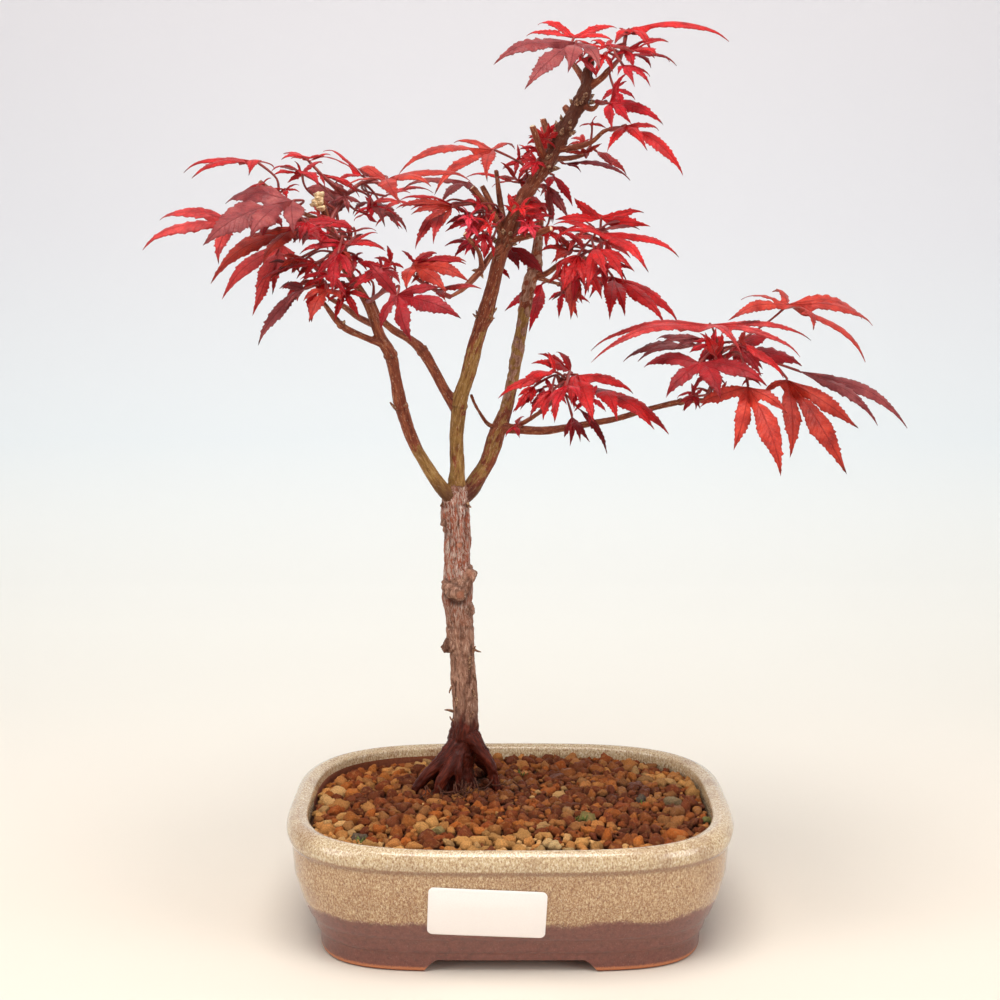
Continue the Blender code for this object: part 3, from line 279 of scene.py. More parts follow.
# Scars in the bark: (x, z, reach, how far the lip stands out, how deep the middle is, how bare it is)
KNOTS = [
    (-21.5, 142.2, 2.6, 0.7, 0.2, 0.6), (-26.5, 145, 3.0, 0.7, 0.0, 0.0), (-17.5, 151, 2.4, 0.8, 0.6, 0.2),
    (-30, 117, 2.0, 0.5, 0.9, 0.0), (-22, 164, 2.0, 0.2, 0.3, 0.55), (-16, 133, 1.5, 0.4, 0.6, 0.0),
    (-29, 171, 1.6, 0.4, 0.7, 0.0), (-18.5, 101, 1.2, 0.4, 0.6, 0.0), (-25, 131, 1.3, 0.3, 0.4, 0.0),
]
# Folds in the trunk's bark, pressed in and dark with painted shade: (how deep, how wide, the (x, z) spots it
# runs through)
FOLDS = [
    (1.0, 1.1, [(-30, 145), (-29, 141.5), (-26, 138.8), (-23, 137.6), (-20, 138.4), (-18, 142)]),
    (0.75, 0.6, [(-28, 148), (-24, 146.5), (-20.5, 145.5), (-18, 149)]),
    (0.6, 0.6, [(-18, 141), (-16.5, 146.5)]), (0.9, 0.9, [(-29, 121), (-27.4, 117), (-28.4, 113)]),
    (0.7, 0.6, [(-29, 175), (-27.8, 170.5), (-28.8, 166)]),
    (0.7, 0.6, [(-16.2, 137), (-17.8, 133), (-16, 130)]),
    (0.8, 0.6, [(-16.5, 118), (-16.9, 108), (-17.6, 101)]),
    (0.6, 0.4, [(-24.6, 164), (-22.6, 165.4), (-20.2, 164), (-22.6, 162.6), (-24.6, 164)]),
    (0.6, 0.5, [(-24, 101), (-24.6, 94), (-24, 87)]), (0.7, 0.5, [(-19, 179), (-19.6, 172), (-18.8, 166)]),
    (0.5, 0.4, [(-26.5, 178), (-26, 171), (-26.8, 160)]),
    (0.5, 0.5, [(-21, 127), (-21.4, 119), (-20.6, 112)]),
    (0.6, 0.4, [(-23, 182), (-22, 176), (-23.4, 170)]), (0.6, 0.4, [(-24, 158), (-25, 152)]),
    (0.5, 0.4, [(-20, 160), (-21, 154)]), (0.6, 0.5, [(-20.5, 98), (-19.5, 91), (-20.5, 84)]),
    (0.6, 0.5, [(-24.6, 112), (-25, 106)]), (0.6, 0.4, [(-27, 134), (-26, 128)]),
]
# Old rings round the trunk: (height, how deep and dark)
TRUNK_RINGS = [(181, 0.8), (167, 0.3), (126, 0.55), (113.5, 0.5), (155, 0.25), (104, 0.3)]
# Twiglets, scale tips and lifted flakes on the trunk: (from, to, radius)
SCRAPS = [
    ((-26, 14, 88), (-29, 12, 89), 0.6), ((-16, 16, 116), (-12.6, 14, 115), 0.6),
    ((-16, 13, 116), (-15, 11, 118.5), 0.6), ((-29, 14, 182), (-30.4, 13, 180.6), 0.75),
    ((-18.4, 13, 182), (-16.8, 12, 180.4), 0.75), ((-23.5, 11.4, 94), (-24, 11, 90), 0.6),
    ((-16, 14, 97), (-14.2, 13, 93), 0.55), ((-17.5, 12.4, 112), (-18, 12, 107), 0.6),
    ((-17, 13, 86), (-15.6, 12.4, 88.5), 0.6), ((-15.5, 14, 104), (-14.6, 13.6, 101), 0.45),
    ((-26, 13, 99), (-26.8, 12.4, 96.5), 0.45), ((-25.5, 13, 84), (-26.7, 12.6, 86), 0.5),
    ((-13.5, 10, 262.5), (-16, 8.6, 264.5), 0.7), ((-8.5, 10, 264), (-5.6, 9, 267), 0.75),
    ((-9, 9, 262), (-8, 7.6, 264.4), 0.6), ((-49, -4, 226), (-50.5, -5, 228), 0.6),
    ((-46, -4, 226), (-43.6, -5, 227.6), 0.6),
]
# The knobbly end of the left stem
CALLUS = (-78, -14, 311)
CALLUS_KNOBS = 11
# A bud scale and a scrap from end to end: (how far along, radius)
BUD_SHAPE = ((0, 0.62), (0.6, 0.78), (1.2, 0.66), (1.8, 0.4), (2.4, 0.08))
SCRAP_SHAPE = ((-0.25, 1.2), (0.2, 1.0), (0.5, 0.8), (0.8, 0.6), (1.0, 0.25))
# Heights between which the trunk's bark turns young at the fork, dry over the foot, pale, and olive again
FORK = (179, 184)
WET_FOOT = (79, 91)
PALE_FROM = (118, 150)
PALE_TO = (184, 196)
TRUNK_FRONT = 15
# How much further on each stretch of wood reads its grain
GRAIN_SHIFT = 37.0
LIVE_WOOD = ("leader", "right_stem", "left_stem", "twig")
VOXEL = 0.575

# Stage: the floor runs back to SWEEP_BACK, bends up on a round of SWEEP_RADIUS and ends at SWEEP_TOP
SWEEP_FRONT = -4000
SWEEP_SEAM = -1500
SWEEP_BACK = 700
SWEEP_RADIUS = 600
SWEEP_TOP = 2600
SWEEP_SPANS = (-4500, -1500, 0, 1500, 4500)
# How far back and up the last sweep colour is reached
SWEEP_REACH = 990.0
# Where the sweep's own light starts, where it is full, and its strength there
SWEEP_GLOW = (200.0, 1150.0, 0.22)
# The sweep's tint and painted light up from the front: (how far back and up, colour)
SWEEP_TINTS_AND_LIGHT = [
    (0.0, (0.772, 0.705, 0.613)), (0.05, (0.79, 0.742, 0.662)), (0.1, (0.807, 0.785, 0.716)),
    (0.16, (0.856, 0.851, 0.791)), (0.205, (0.866, 0.87, 0.82)), (0.25, (0.834, 0.847, 0.81)),
    (0.4, (0.743, 0.788, 0.798)), (0.7, (0.713, 0.718, 0.744)), (1.0, (0.697, 0.684, 0.711)),
]
# Camera and lights. A light is (name, place, what it aims at, width, power, colour), in metres and watts
LENS = 55.4
CAMERA_PLACE = (-4.3, -650, 289)
CAMERA_DIP = 9.04
LIGHTS = [
    ("overhead_softbox", (-0.05, -0.35, 1.25), (0, 0, 0.15), 0.9, 16, (1.0, 0.97, 0.93)),
    ("left_softbox", (-1.2, -0.7, 0.7), (0, 0, 0.2), 0.8, 7, (1.0, 0.96, 0.92)),
    ("right_softbox", (1.2, -0.8, 0.6), (0, 0, 0.2), 0.8, 7.5, (1.0, 0.97, 0.95)),
]
WORLD_COLOUR = (0.95, 0.95, 1.0, 1.0)
WORLD_STRENGTH = 0.32

# Leafy sprays
SPRAYS = {}


def spray(name, shoot, *rows):
    """One leafy spray of SPRAYS: the young shoot's centre line, then a row for each leaf.

    A row is the leaf's foot, how far its upper face leans to the front in degrees, how wide its lobes are,
    its tone and the tips of its lobes, or of its middle lobe alone.
    """
    leaves = [Leaf(foot, tips, face, width, tone) for foot, face, width, tone, *tips in rows]
    SPRAYS[name] = Spray(shoot, leaves)


spray(
    "left_far", [(-72, -13, 295), (-80, -17, 300), (-88, -20, 305), (-94, -20, 312)],
    ((-102, -20, 326), 20, 1.0, "scarlet", (-130, -26, 322), (-123, -44, 319), (-101, -44, 320),
     (-96, -10, 324)),
    ((-85, -40, 310), 50, 1.9, "mauve", (-113, -30, 310), (-116, -62, 293), (-97, -72, 296), (-82, -64, 298)),
    ((-114, -8, 303), 30, 1.1, "salmon", (-146, 0, 304), (-149, -20, 292), (-117, -30, 286)),
    ((-83, -32, 300), 30, 1.15, "brick", (-116, -52, 279), (-112, -30, 290), (-95, -58, 286)),
    ((-95, -4, 294), 50, 1.05, "salmon", (-117, -22, 272), (-102, -36, 266), (-95, -28, 274),
     (-86, -12, 281)),
    ((-81, -34, 302), 40, 1.2, "crimson", (-62, -28, 299), (-73, -44, 293), (-82, -46, 294), (-88, -42, 297)),
    ((-65, -36, 293), 45, 1.0, "crimson", (-82, -46, 290), (-75, -42, 294), (-70, -48, 286)),
    ((-100, -16, 318), 30, 0.9, "scarlet", (-108, -20, 312), (-97, -14, 320), (-102, -24, 314)),
    ((-90, -24, 315), 40, 1.1, "scarlet", (-96, -24, 315), (-88, -34, 311), (-84, -28, 314), (-85, -20, 317)),
    ((-87, -18, 301), 60, 1.5, "dusky", (-93, -14, 296), (-85, -20, 295)),
    ((-96, -26, 305), 55, 1.8, "wine", (-103, -36, 300), (-97, -40, 296), (-90, -34, 300), (-89, -22, 308)),
    ((-87, -30, 300), 55, 1.9, "mauve", (-91, -34, 296), (-85, -36, 294), (-82, -30, 298)),
)
spray(
    "left_top", [(-74, -13, 301), (-71, -8, 308), (-66, -4, 315), (-61, 0, 319)],
    ((-82, -8, 327), 25, 1.0, "scarlet", (-92, -12, 330), (-91, -26, 327), (-74, -2, 330)),
    ((-83, -22, 322), 40, 1.3, "crimson", (-94, -34, 322), (-75, -36, 316), (-76, -14, 326)),
    ((-69, 4, 314), 50, 2.3, "dusky", (-86, 10, 317), (-83, 2, 310), (-75, -8, 303), (-76, 10, 319)),
    ((-62, 7, 322), 10, 0.8, "scarlet", (-79, 17, 333), (-80, 1, 329), (-72, -9, 318)),
    ((-50, -18, 319), 45, 1.0, "orange", (-16, -26, 319), (-31, -44, 316), (-43, -52, 309), (-65, -30, 316),
     (-63, 2, 324)),
    ((-58, 12, 311), 40, 0.9, "dusky", (-43, 6, 299), (-46, -10, 300), (-51, -20, 301), (-65, -6, 306)),
    ((-53, 12, 314), 20, 0.9, "salmon", (-33, 22, 316), (-42, 6, 315)),
    ((-59, -8, 306), 55, 1.3, "crimson", (-64, -12, 303), (-63, -12, 309), (-56, -6, 315), (-52, -6, 309),
     (-54, -14, 302)),
    ((-52, 4, 306), 50, 0.9, "scarlet", (-45, 2, 300), (-47, -6, 305), (-56, 0, 301)),
    ((-58, 6, 321), 70, 1.5, "mauve", (-64, 8, 325), (-58, 10, 326), (-54, 2, 317)),
    ((-78, -10, 322), 30, 0.7, "scarlet", (-63, -8, 316), (-62, -4, 313), (-75, -16, 316)),
    ((-67, 6, 295), 60, 1.6, "dusky", (-74, 10, 300), (-69, 12, 301), (-62, 8, 298)),
    ((-85, -10, 322), 45, 1.3, "scarlet", (-92, -14, 325), (-96, -16, 321), (-77, -8, 327), (-78, -14, 318),
     (-90, -16, 318), (-88, -8, 327)),
    ((-83, -8, 328), 30, 1.2, "scarlet", (-92, -10, 330), (-89, -12, 328), (-76, -6, 329)),
    ((-77, -16, 305), 55, 1.7, "salmon", (-82, -18, 306), (-72, -18, 303), (-78, -20, 300), (-81, -14, 310)),
    ((-57, -6, 309), 50, 1.3, "crimson", (-64, -10, 305), (-60, -4, 313), (-51, -6, 313), (-48, -10, 306),
     (-57, -12, 303)),
    ((-46, -6, 311), 40, 1.4, "salmon", (-57, -8, 310), (-52, -10, 307), (-41, -6, 309)),
    ((-68, -8, 313), 50, 1.4, "mauve", (-73, -10, 310), (-66, -10, 306), (-61, -8, 310)),
)
spray(
    "left_mid", [(-69, -13, 286), (-67, -20, 291), (-68, -28, 295)],
    ((-73, -51, 300), 30, 1.0, "crimson", (-59, -65, 299), (-77, -61, 296)),
    ((-64, -34, 293), 20, 1.0, "scarlet", (-49, -44, 291), (-53, -30, 298)),
    ((-67, -46, 290), 70, 1.3, "crimson", (-61, -58, 280), (-68, -60, 275), (-75, -50, 281)),
    ((-78, -30, 286), 40, 1.0, "scarlet", (-89, -36, 283)),
    ((-63, -18, 289), 60, 1.3, "burgundy", (-69, -24, 286), (-64, -26, 280), (-58, -22, 283),
     (-60, -16, 290)),
    ((-65, -20, 298), 40, 0.9, "crimson", (-72, -26, 297), (-67, -22, 302), (-54, -24, 299)),
    ((-74, -24, 297), 55, 1.8, "crimson", (-82, -24, 301), (-83, -26, 295), (-77, -28, 291), (-73, -28, 291),
     (-72, -22, 300)),
    ((-64, -16, 300), 40, 0.8, "salmon", (-85, -26, 302), (-74, -20, 302), (-66, -20, 297)),
    ((-68, -26, 291), 70, 1.8, "brick", (-73, -30, 286), (-68, -34, 281), (-63, -34, 280), (-63, -30, 286)),
    ((-72, -22, 293), 35, 0.8, "salmon", (-51, -20, 292), (-60, -18, 294), (-67, -18, 295)),
    ((-84, -24, 286), 45, 1.1, "orange", (-96, -30, 280), (-91, -26, 286), (-87, -28, 282), (-77, -24, 286)),
    ((-75, -28, 282), 55, 1.3, "scarlet", (-83, -32, 279), (-76, -34, 277), (-68, -34, 276), (-68, -30, 281)),
    ((-81, -22, 301), 60, 1.9, "dusky", (-89, -26, 297), (-87, -28, 294), (-83, -28, 293), (-79, -24, 295),
     (-88, -24, 300)),
    ((-84, -26, 288), 55, 1.6, "brick", (-91, -28, 289), (-92, -30, 284), (-87, -32, 282), (-82, -30, 284)),
    ((-77, -26, 284), 50, 1.3, "crimson", (-84, -30, 283), (-72, -26, 286), (-75, -30, 280)),
)
spray(
    "left_low", [(-63, -13, 277), (-67, -20, 277), (-72, -26, 277), (-77, -30, 277)],
    ((-81, -38, 276), 35, 1.0, "mauve", (-98, -52, 255), (-93, -24, 276), (-87, -54, 269)),
    ((-72, -46, 276), 75, 1.5, "orange", (-77, -60, 264), (-80, -54, 272), (-65, -58, 272)),
    ((-84, -26, 286), 20, 0.9, "scarlet", (-101, -34, 276), (-93, -12, 286)),
    ((-67, -26, 275), 60, 1.0, "scarlet", (-60, -34, 264)),
    ((-81, -16, 286), 45, 1.1, "orange", (-92, -14, 289), (-93, -22, 284), (-86, -26, 280), (-75, -18, 284)),
    ((-72, -40, 282), 50, 1.0, "crimson", (-82, -46, 280), (-78, -44, 278), (-64, -46, 273), (-62, -38, 280)),
    ((-85, -24, 277), 30, 0.8, "mauve", (-93, -26, 276), (-90, -32, 268), (-78, -22, 278)),
    ((-89, -24, 286), 50, 1.3, "dusky", (-97, -26, 286), (-93, -32, 281), (-85, -28, 283)),
    ((-75, -30, 279), 65, 2.0, "scarlet", (-83, -32, 276), (-79, -38, 263), (-77, -36, 268), (-72, -32, 271)),
    ((-83, -30, 278), 50, 1.5, "salmon", (-91, -32, 276), (-89, -34, 273), (-85, -34, 271)),
    ((-67, -26, 278), 60, 1.6, "scarlet", (-64, -28, 274), (-68, -32, 271), (-71, -30, 275)),
)
spray(
    "left_front", [(-59, -12, 270), (-55, -24, 272), (-50, -34, 275), (-47, -40, 275)],
    ((-44, -52, 274), 72, 1.5, "burgundy", (-38, -66, 257), (-19, -66, 266), (-50, -60, 261), (-27, -56, 277),
     (-55, -48, 286)),
    ((-50, -32, 284), 60, 1.2, "crimson", (-62, -42, 276), (-61, -24, 286)),
    ((-51, -34, 284), 50, 1.2, "burgundy", (-61, -40, 277), (-52, -32, 289), (-45, -36, 283),
     (-43, -44, 278)),
    ((-60, -22, 281), 50, 1.0, "crimson", (-66, -28, 276), (-64, -20, 284), (-56, -26, 277)),
    ((-48, -22, 286), 55, 1.5, "scarlet", (-55, -22, 288), (-61, -28, 278), (-50, -20, 293), (-43, -24, 284)),
)
spray(
    "leader_low", [(-25, -9, 272), (-29, -14, 274), (-34, -18, 277)],
    ((-39, -24, 285), 50, 1.4, "brick", (-30, -10, 290), (-18, -20, 287), (-17, -36, 279), (-25, -44, 275),
     (-41, -44, 276)),
    ((-30, -20, 275), 40, 1.1, "salmon", (-12, -28, 276), (-26, -32, 271)),
    ((-39, -22, 286), 35, 1.1, "crimson", (-44, -20, 291), (-30, -20, 290), (-18, -24, 286), (-17, -28, 279)),
    ((-32, -20, 284), 50, 1.4, "orange", (-40, -26, 278), (-24, -24, 281), (-26, -16, 286)),
)
spray(
    "centre_left", [(-4, 12, 306), (-9, 20, 308), (-14, 24, 310)],
    ((-18, 26, 320), 25, 0.9, "dusky", (-46, 14, 317), (-29, 4, 310), (-11, 10, 309)),
    ((-29, 13, 309), 40, 1.0, "salmon", (-40, -1, 292), (-32, -9, 294), (-48, 9, 309), (-20, 21, 311)),
    ((-12, 16, 305), 60, 1.1, "scarlet", (-27, 4, 299), (-17, 22, 311), (-18, -4, 295)),
    ((-16, 24, 295), 50, 1.0, "crimson", (-24, 14, 288)),
    ((-24, 6, 310), 25, 0.9, "scarlet", (-46, 0, 312), (-41, -4, 308), (-30, 0, 306), (-21, 2, 306)),
    ((-17, -2, 302), 60, 1.5, "pink", (-21, -8, 300), (-18, -10, 295), (-13, -8, 296), (-13, -2, 305),
     (-20, 2, 306)),
    ((-11, -4, 298), 60, 1.2, "crimson", (-15, -8, 292), (-11, -12, 288), (-7, -8, 291), (-13, -2, 300)),
    ((-17, 10, 306), 40, 1.3, "burgundy", (-27, 6, 302), (-25, 10, 309), (-11, 12, 308)),
    ((-9, 2, 306), 45, 1.5, "crimson", (-13, 2, 311), (-7, 4, 309), (-6, 0, 303), (-12, -2, 301)),
    ((-10, 4, 298), 55, 1.5, "wine", (-16, 0, 295), (-12, -2, 293), (-7, 0, 295), (-14, 2, 300)),
    ((-8, 0, 294), 60, 1.1, "scarlet", (-11, -6, 287), (-7, -4, 288), (-13, -2, 290)),
    ((-24, 0, 309), 45, 1.2, "brick", (-45, -2, 309), (-41, -4, 306), (-34, -6, 303), (-28, -6, 301)),
    ((-17, -4, 305), 55, 1.6, "pink", (-20, -6, 309), (-22, -8, 303), (-17, -10, 299), (-13, -8, 302),
     (-13, -4, 308)),
    ((-12, -2, 310), 50, 1.5, "crimson", (-16, -2, 314), (-20, -4, 311), (-15, -8, 306), (-9, -4, 307)),
    ((-9, -6, 302), 60, 1.5, "scarlet", (-15, -8, 304), (-13, -10, 298), (-8, -10, 296), (-5, -6, 301),
     (-6, -4, 307)),
    ((-15, 0, 296), 60, 1.3, "pink", (-22, -2, 292), (-19, -4, 289), (-13, -4, 290)),
)
spray(
    "centre_right", [(-2, 14, 297), (2, 24, 296), (5, 30, 297)],
    ((17, 32, 310), 55, 1.3, "scarlet", (-1, 20, 312), (4, 14, 305), (15, 40, 317)),
    ((9, 41, 302), 60, 1.2, "scarlet", (-1, 48, 304), (4, 34, 294), (18, 38, 296)),
    ((-1, 28, 293), 50, 1.7, "wine", (15, 26, 281), (4, 18, 283)),
    ((11, 16, 311), 50, 1.3, "scarlet", (-1, 12, 313), (-2, 10, 308), (16, 14, 310), (16, 12, 305),
     (7, 8, 307)),
    ((8, 4, 305), 55, 1.2, "crimson", (2, 0, 303), (4, -4, 297), (15, 2, 303), (18, 8, 305), (9, -4, 297)),
    ((8, -4, 301), 60, 1.4, "pink", (3, -8, 303), (3, -12, 297), (10, -12, 295), (13, -8, 300)),
    ((16, 12, 300), 50, 1.1, "scarlet", (15, 6, 292), (13, 8, 297), (22, 4, 293), (26, 8, 299)),
    ((-4, 20, 284), 60, 1.5, "crimson", (0, 18, 279), (-6, 16, 278)),
    ((2, 8, 306), 35, 1.5, "scarlet", (-1, 12, 315), (-3, 8, 310), (8, 14, 313), (16, 14, 310),
     (15, 10, 304)),
    ((7, 2, 301), 50, 1.5, "crimson", (3, 0, 305), (13, 2, 303), (13, -2, 298), (6, -4, 296), (10, 4, 306)),
    ((4, 2, 309), 50, 1.6, "scarlet", (-1, 2, 312), (0, -2, 305), (6, -4, 304), (11, 0, 308), (9, 4, 313)),
)
spray(
    "leader_up", [(9, 14, 319), (7, 22, 320), (5, 26, 320)],
    ((-7, 14, 333), 25, 0.85, "orange", (-46, -8, 323), (-31, -14, 314), (-10, -14, 319), (-24, 24, 337),
     (2, 34, 335)),
    ((2, 40, 321), 20, 0.9, "scarlet", (-19, 34, 323), (-8, 43, 319)),
    ((19, 30, 323), 60, 1.2, "crimson", (27, 24, 310), (16, 18, 316)),
    ((15, 42, 318), 30, 1.0, "burgundy", (26, 46, 305), (19, 36, 303)),
    ((4, 20, 320), 45, 1.0, "scarlet", (-4, 16, 328), (-6, 10, 321), (13, 24, 316), (7, 20, 313),
     (10, 22, 325)),
    ((16, 24, 319), 40, 1.0, "mauve", (25, 20, 305), (18, 26, 303), (13, 20, 314), (8, 18, 316)),
    ((4, 22, 329), 40, 1.0, "crimson", (-3, 18, 326), (2, 16, 322), (12, 26, 328), (3, 24, 336)),
)
spray(
    "upper_back", [(19, 15, 334), (18, 24, 335), (16, 30, 335)],
    ((17, 34, 336), 60, 1.5, "salmon", (8, 28, 340), (15, 42, 348), (25, 42, 348)),
    ((12, 38, 330), 40, 1.0, "scarlet", (-3, 28, 326), (4, 40, 337), (3, 24, 320), (9, 20, 321)),
    ((23, 24, 328), 20, 0.9, "burgundy", (51, 14, 321), (30, 14, 324)),
    ((16, 30, 341), 50, 1.5, "crimson", (8, 32, 339), (13, 30, 347), (23, 28, 346), (18, 30, 334)),
    ((11, 28, 335), 50, 1.3, "crimson", (4, 26, 334), (4, 26, 328), (15, 30, 328)),
    ((15, 10, 337), 40, 1.9, "scarlet", (9, 10, 342), (7, 8, 335), (12, 6, 331), (19, 8, 333), (21, 12, 340),
     (16, 12, 344)),
    ((11, 8, 328), 50, 1.6, "crimson", (4, 8, 330), (4, 4, 323), (9, 2, 321), (15, 6, 325)),
)
spray(
    "side_back", [(33, 28, 332), (34, 32, 334), (35, 35, 335)],
    ((38, 39, 334), 45, 1.2, "salmon", (51, 34, 324), (44, 24, 326)),
    ((33, 40, 338), 50, 1.3, "salmon", (27, 46, 340)),
    ((32, 22, 332), 40, 1.2, "orange", (39, 20, 336), (28, 24, 337), (22, 26, 333)),
    ((35, 30, 345), 50, 1.2, "scarlet", (30, 32, 344), (37, 28, 348), (41, 26, 343)),
)
spray(
    "side_low", [(41, -3, 340), (43, -7, 340), (45, -9, 340)],
    ((47, -10, 341), 50, 0.9, "scarlet", (61, -2, 340), (69, -24, 321), (53, -32, 330), (38, -26, 330)),
)
spray(
    "side_loop", [(36, 8, 352), (38, 3, 351), (39, -2, 351)],
    ((40, -8, 350), 65, 1.0, "crimson", (47, -10, 362), (53, 2, 350), (61, -20, 341), (47, -30, 340),
     (40, -28, 338)),
)
spray(
    "crown_left", [(24, 21, 371), (25, 20, 374), (26, 18, 376)],
    ((27, 8, 376), 50, 1.3, "mauve", (-7, -8, 366), (6, -18, 355), (23, -22, 361), (36, -14, 363)),
    ((27, 26, 380), 25, 1.0, "scarlet", (7, 30, 382), (12, 40, 388), (46, 36, 386), (43, 16, 378)),
    ((30, 14, 370), 45, 1.3, "crimson", (23, 16, 378), (27, 10, 367), (36, 8, 362), (39, 10, 371)),
    ((34, 16, 376), 45, 1.1, "scarlet", (27, 12, 377), (40, 16, 377), (37, 8, 370), (30, 8, 370)),
)
spray(
    "crown_right", [(45, 8, 369), (46, 7, 372), (47, 5, 375)],
    ((49, 6, 381), 20, 0.9, "scarlet", (88, -8, 375), (42, -6, 374), (56, -14, 370)),
    ((49, -12, 370), 40, 1.3, "scarlet", (62, -18, 373), (57, -30, 366), (38, -24, 369)),
    ((51, 14, 372), 15, 1.0, "crimson", (69, 8, 367)),
    ((45, -16, 364), 40, 0.8, "crimson", (56, -14, 360), (55, -26, 355), (48, -34, 354), (42, -26, 359)),
    ((40, 8, 374), 30, 1.0, "scarlet", (34, 20, 378)),
    ((43, 2, 357), 45, 1.1, "crimson", (37, -4, 351), (45, -8, 345), (51, -4, 352), (48, 4, 360)),
    ((48, 4, 373), 45, 1.5, "crimson", (37, 0, 373), (64, -4, 375), (58, -8, 368), (50, -6, 364),
     (41, 0, 367)),
    ((39, 6, 371), 50, 1.1, "scarlet", (32, 2, 367), (35, 0, 361), (42, 0, 363), (44, 6, 373)),
    ((48, 8, 380), 50, 1.5, "salmon", (43, 4, 375), (57, 2, 377), (54, 8, 382), (45, 10, 382)),
)
spray(
    "mid_right", [(35, 20, 287), (38, 15, 290), (39, 10, 295)],
    ((38, 6, 304), 35, 1.1, "scarlet", (27, 16, 313), (56, 6, 307), (57, -10, 301), (19, 8, 304)),
    ((38, -8, 298), 40, 0.9, "scarlet", (68, -22, 289), (54, -36, 283), (18, 0, 302), (19, -20, 297)),
    ((34, -16, 292), 55, 0.9, "scarlet", (49, -32, 283), (44, -42, 279), (37, -46, 281), (30, -40, 275)),
    ((44, 16, 280), 30, 1.0, "scarlet", (72, 8, 261), (64, -10, 261), (47, -16, 265), (40, -22, 264),
     (33, -6, 272)),
    ((25, 6, 284), 65, 1.3, "orange", (25, -10, 263), (16, 4, 277), (30, 0, 269)),
    ((27, 10, 291), 40, 1.1, "orange", (16, 16, 299), (13, 8, 291), (17, -2, 286)),
    ((28, -6, 289), 60, 1.2, "scarlet", (21, -18, 274), (30, -20, 277), (37, -16, 272), (19, -10, 284)),
    ((36, 0, 299), 35, 0.9, "mauve", (49, -4, 303), (44, -10, 295), (53, -8, 300), (31, 2, 303)),
    ((39, -14, 286), 45, 0.9, "crimson", (50, -20, 283), (47, -22, 279), (38, -24, 274), (32, -20, 278)),
    ((22, 8, 299), 45, 1.0, "crimson", (15, 6, 301), (19, 2, 293), (29, -2, 293), (31, 4, 301)),
    ((21, 10, 293), 50, 1.2, "scarlet", (16, 10, 299), (13, 6, 291), (19, 2, 286), (26, 8, 295)),
    ((31, 2, 286), 60, 1.2, "crimson", (26, -4, 277), (34, -4, 280), (37, 0, 286), (27, 2, 289)),
    ((23, 6, 288), 65, 1.2, "scarlet", (23, -4, 273), (19, -2, 280), (30, 0, 283)),
    ((28, 4, 297), 55, 1.2, "salmon", (24, -2, 290), (31, -2, 290), (37, 2, 295), (34, 6, 300)),
    ((35, 4, 281), 65, 1.0, "salmon", (31, -4, 272), (38, -4, 271), (42, -2, 274), (40, 4, 282)),
    ((26, 4, 284), 65, 1.0, "crimson", (19, 2, 281), (21, -6, 273), (26, -8, 269), (31, -4, 276)),
    ((40, 4, 295), 50, 1.0, "salmon", (35, -2, 290), (42, -4, 286), (50, -2, 288), (49, 4, 294)),
)
spray(
    "mid_dark", [(22, 51, 276), (24, 54, 276), (25, 58, 276)],
    ((15, 64, 276), 40, 1.2, "crimson", (-2, 56, 264), (9, 50, 255)),
    ((24, 58, 273), 60, 1.0, "crimson", (31, 52, 261)),
    ((24, 50, 273), 40, 1.0, "dusky", (19, 48, 269), (31, 46, 268)),
)
spray(
    "low_near", [(13, 13, 222), (18, 8, 227), (22, 4, 233)],
    ((26, 6, 240), 35, 1.2, "scarlet", (12, 4, 248), (9, -8, 245), (20, 18, 248)),
    ((28, -12, 240), 45, 1.3, "scarlet", (51, -14, 233), (33, -40, 224), (24, -40, 231)),
    ((22, -38, 238), 65, 1.0, "crimson", (16, -52, 228), (13, -44, 230), (27, -56, 233)),
    ((19, -8, 241), 30, 1.1, "scarlet", (-5, -16, 231), (4, -28, 237), (16, -2, 249)),
    ((35, 2, 234), 35, 1.1, "scarlet", (67, -6, 215), (59, -22, 219), (43, -34, 224)),
    ((14, -2, 234), 55, 1.0, "crimson", (1, -14, 225), (4, -22, 227), (8, -26, 224)),
    ((26, -4, 222), 60, 0.9, "wine", (25, -10, 210), (29, -18, 213), (33, -12, 212), (23, 2, 212)),
    ((29, 2, 225), 40, 0.7, "dark", (41, -4, 206), (40, 8, 212)),
    ((17, -18, 234), 45, 1.2, "crimson", (10, -22, 231), (12, -26, 226), (20, -24, 229), (25, -18, 233),
     (14, -12, 239)),
    ((33, -20, 231), 50, 1.2, "crimson", (26, -24, 226), (32, -28, 221), (39, -24, 226), (36, -14, 236)),
    ((17, -20, 234), 65, 1.4, "scarlet", (8, -26, 226), (13, -28, 223), (18, -28, 222), (23, -24, 229)),
    ((25, -16, 237), 60, 1.4, "crimson", (19, -22, 230), (26, -24, 227), (32, -20, 232)),
    ((10, -18, 236), 60, 1.4, "scarlet", (3, -20, 232), (2, -24, 226), (8, -24, 229)),
)
spray(
    "low_small", [(5, 25, 216), (4, 19, 216), (3, 16, 216)],
    ((2, 13, 216), 50, 1.2, "crimson", (6, 6, 221), (-2, 8, 212), (4, 4, 212)),
)
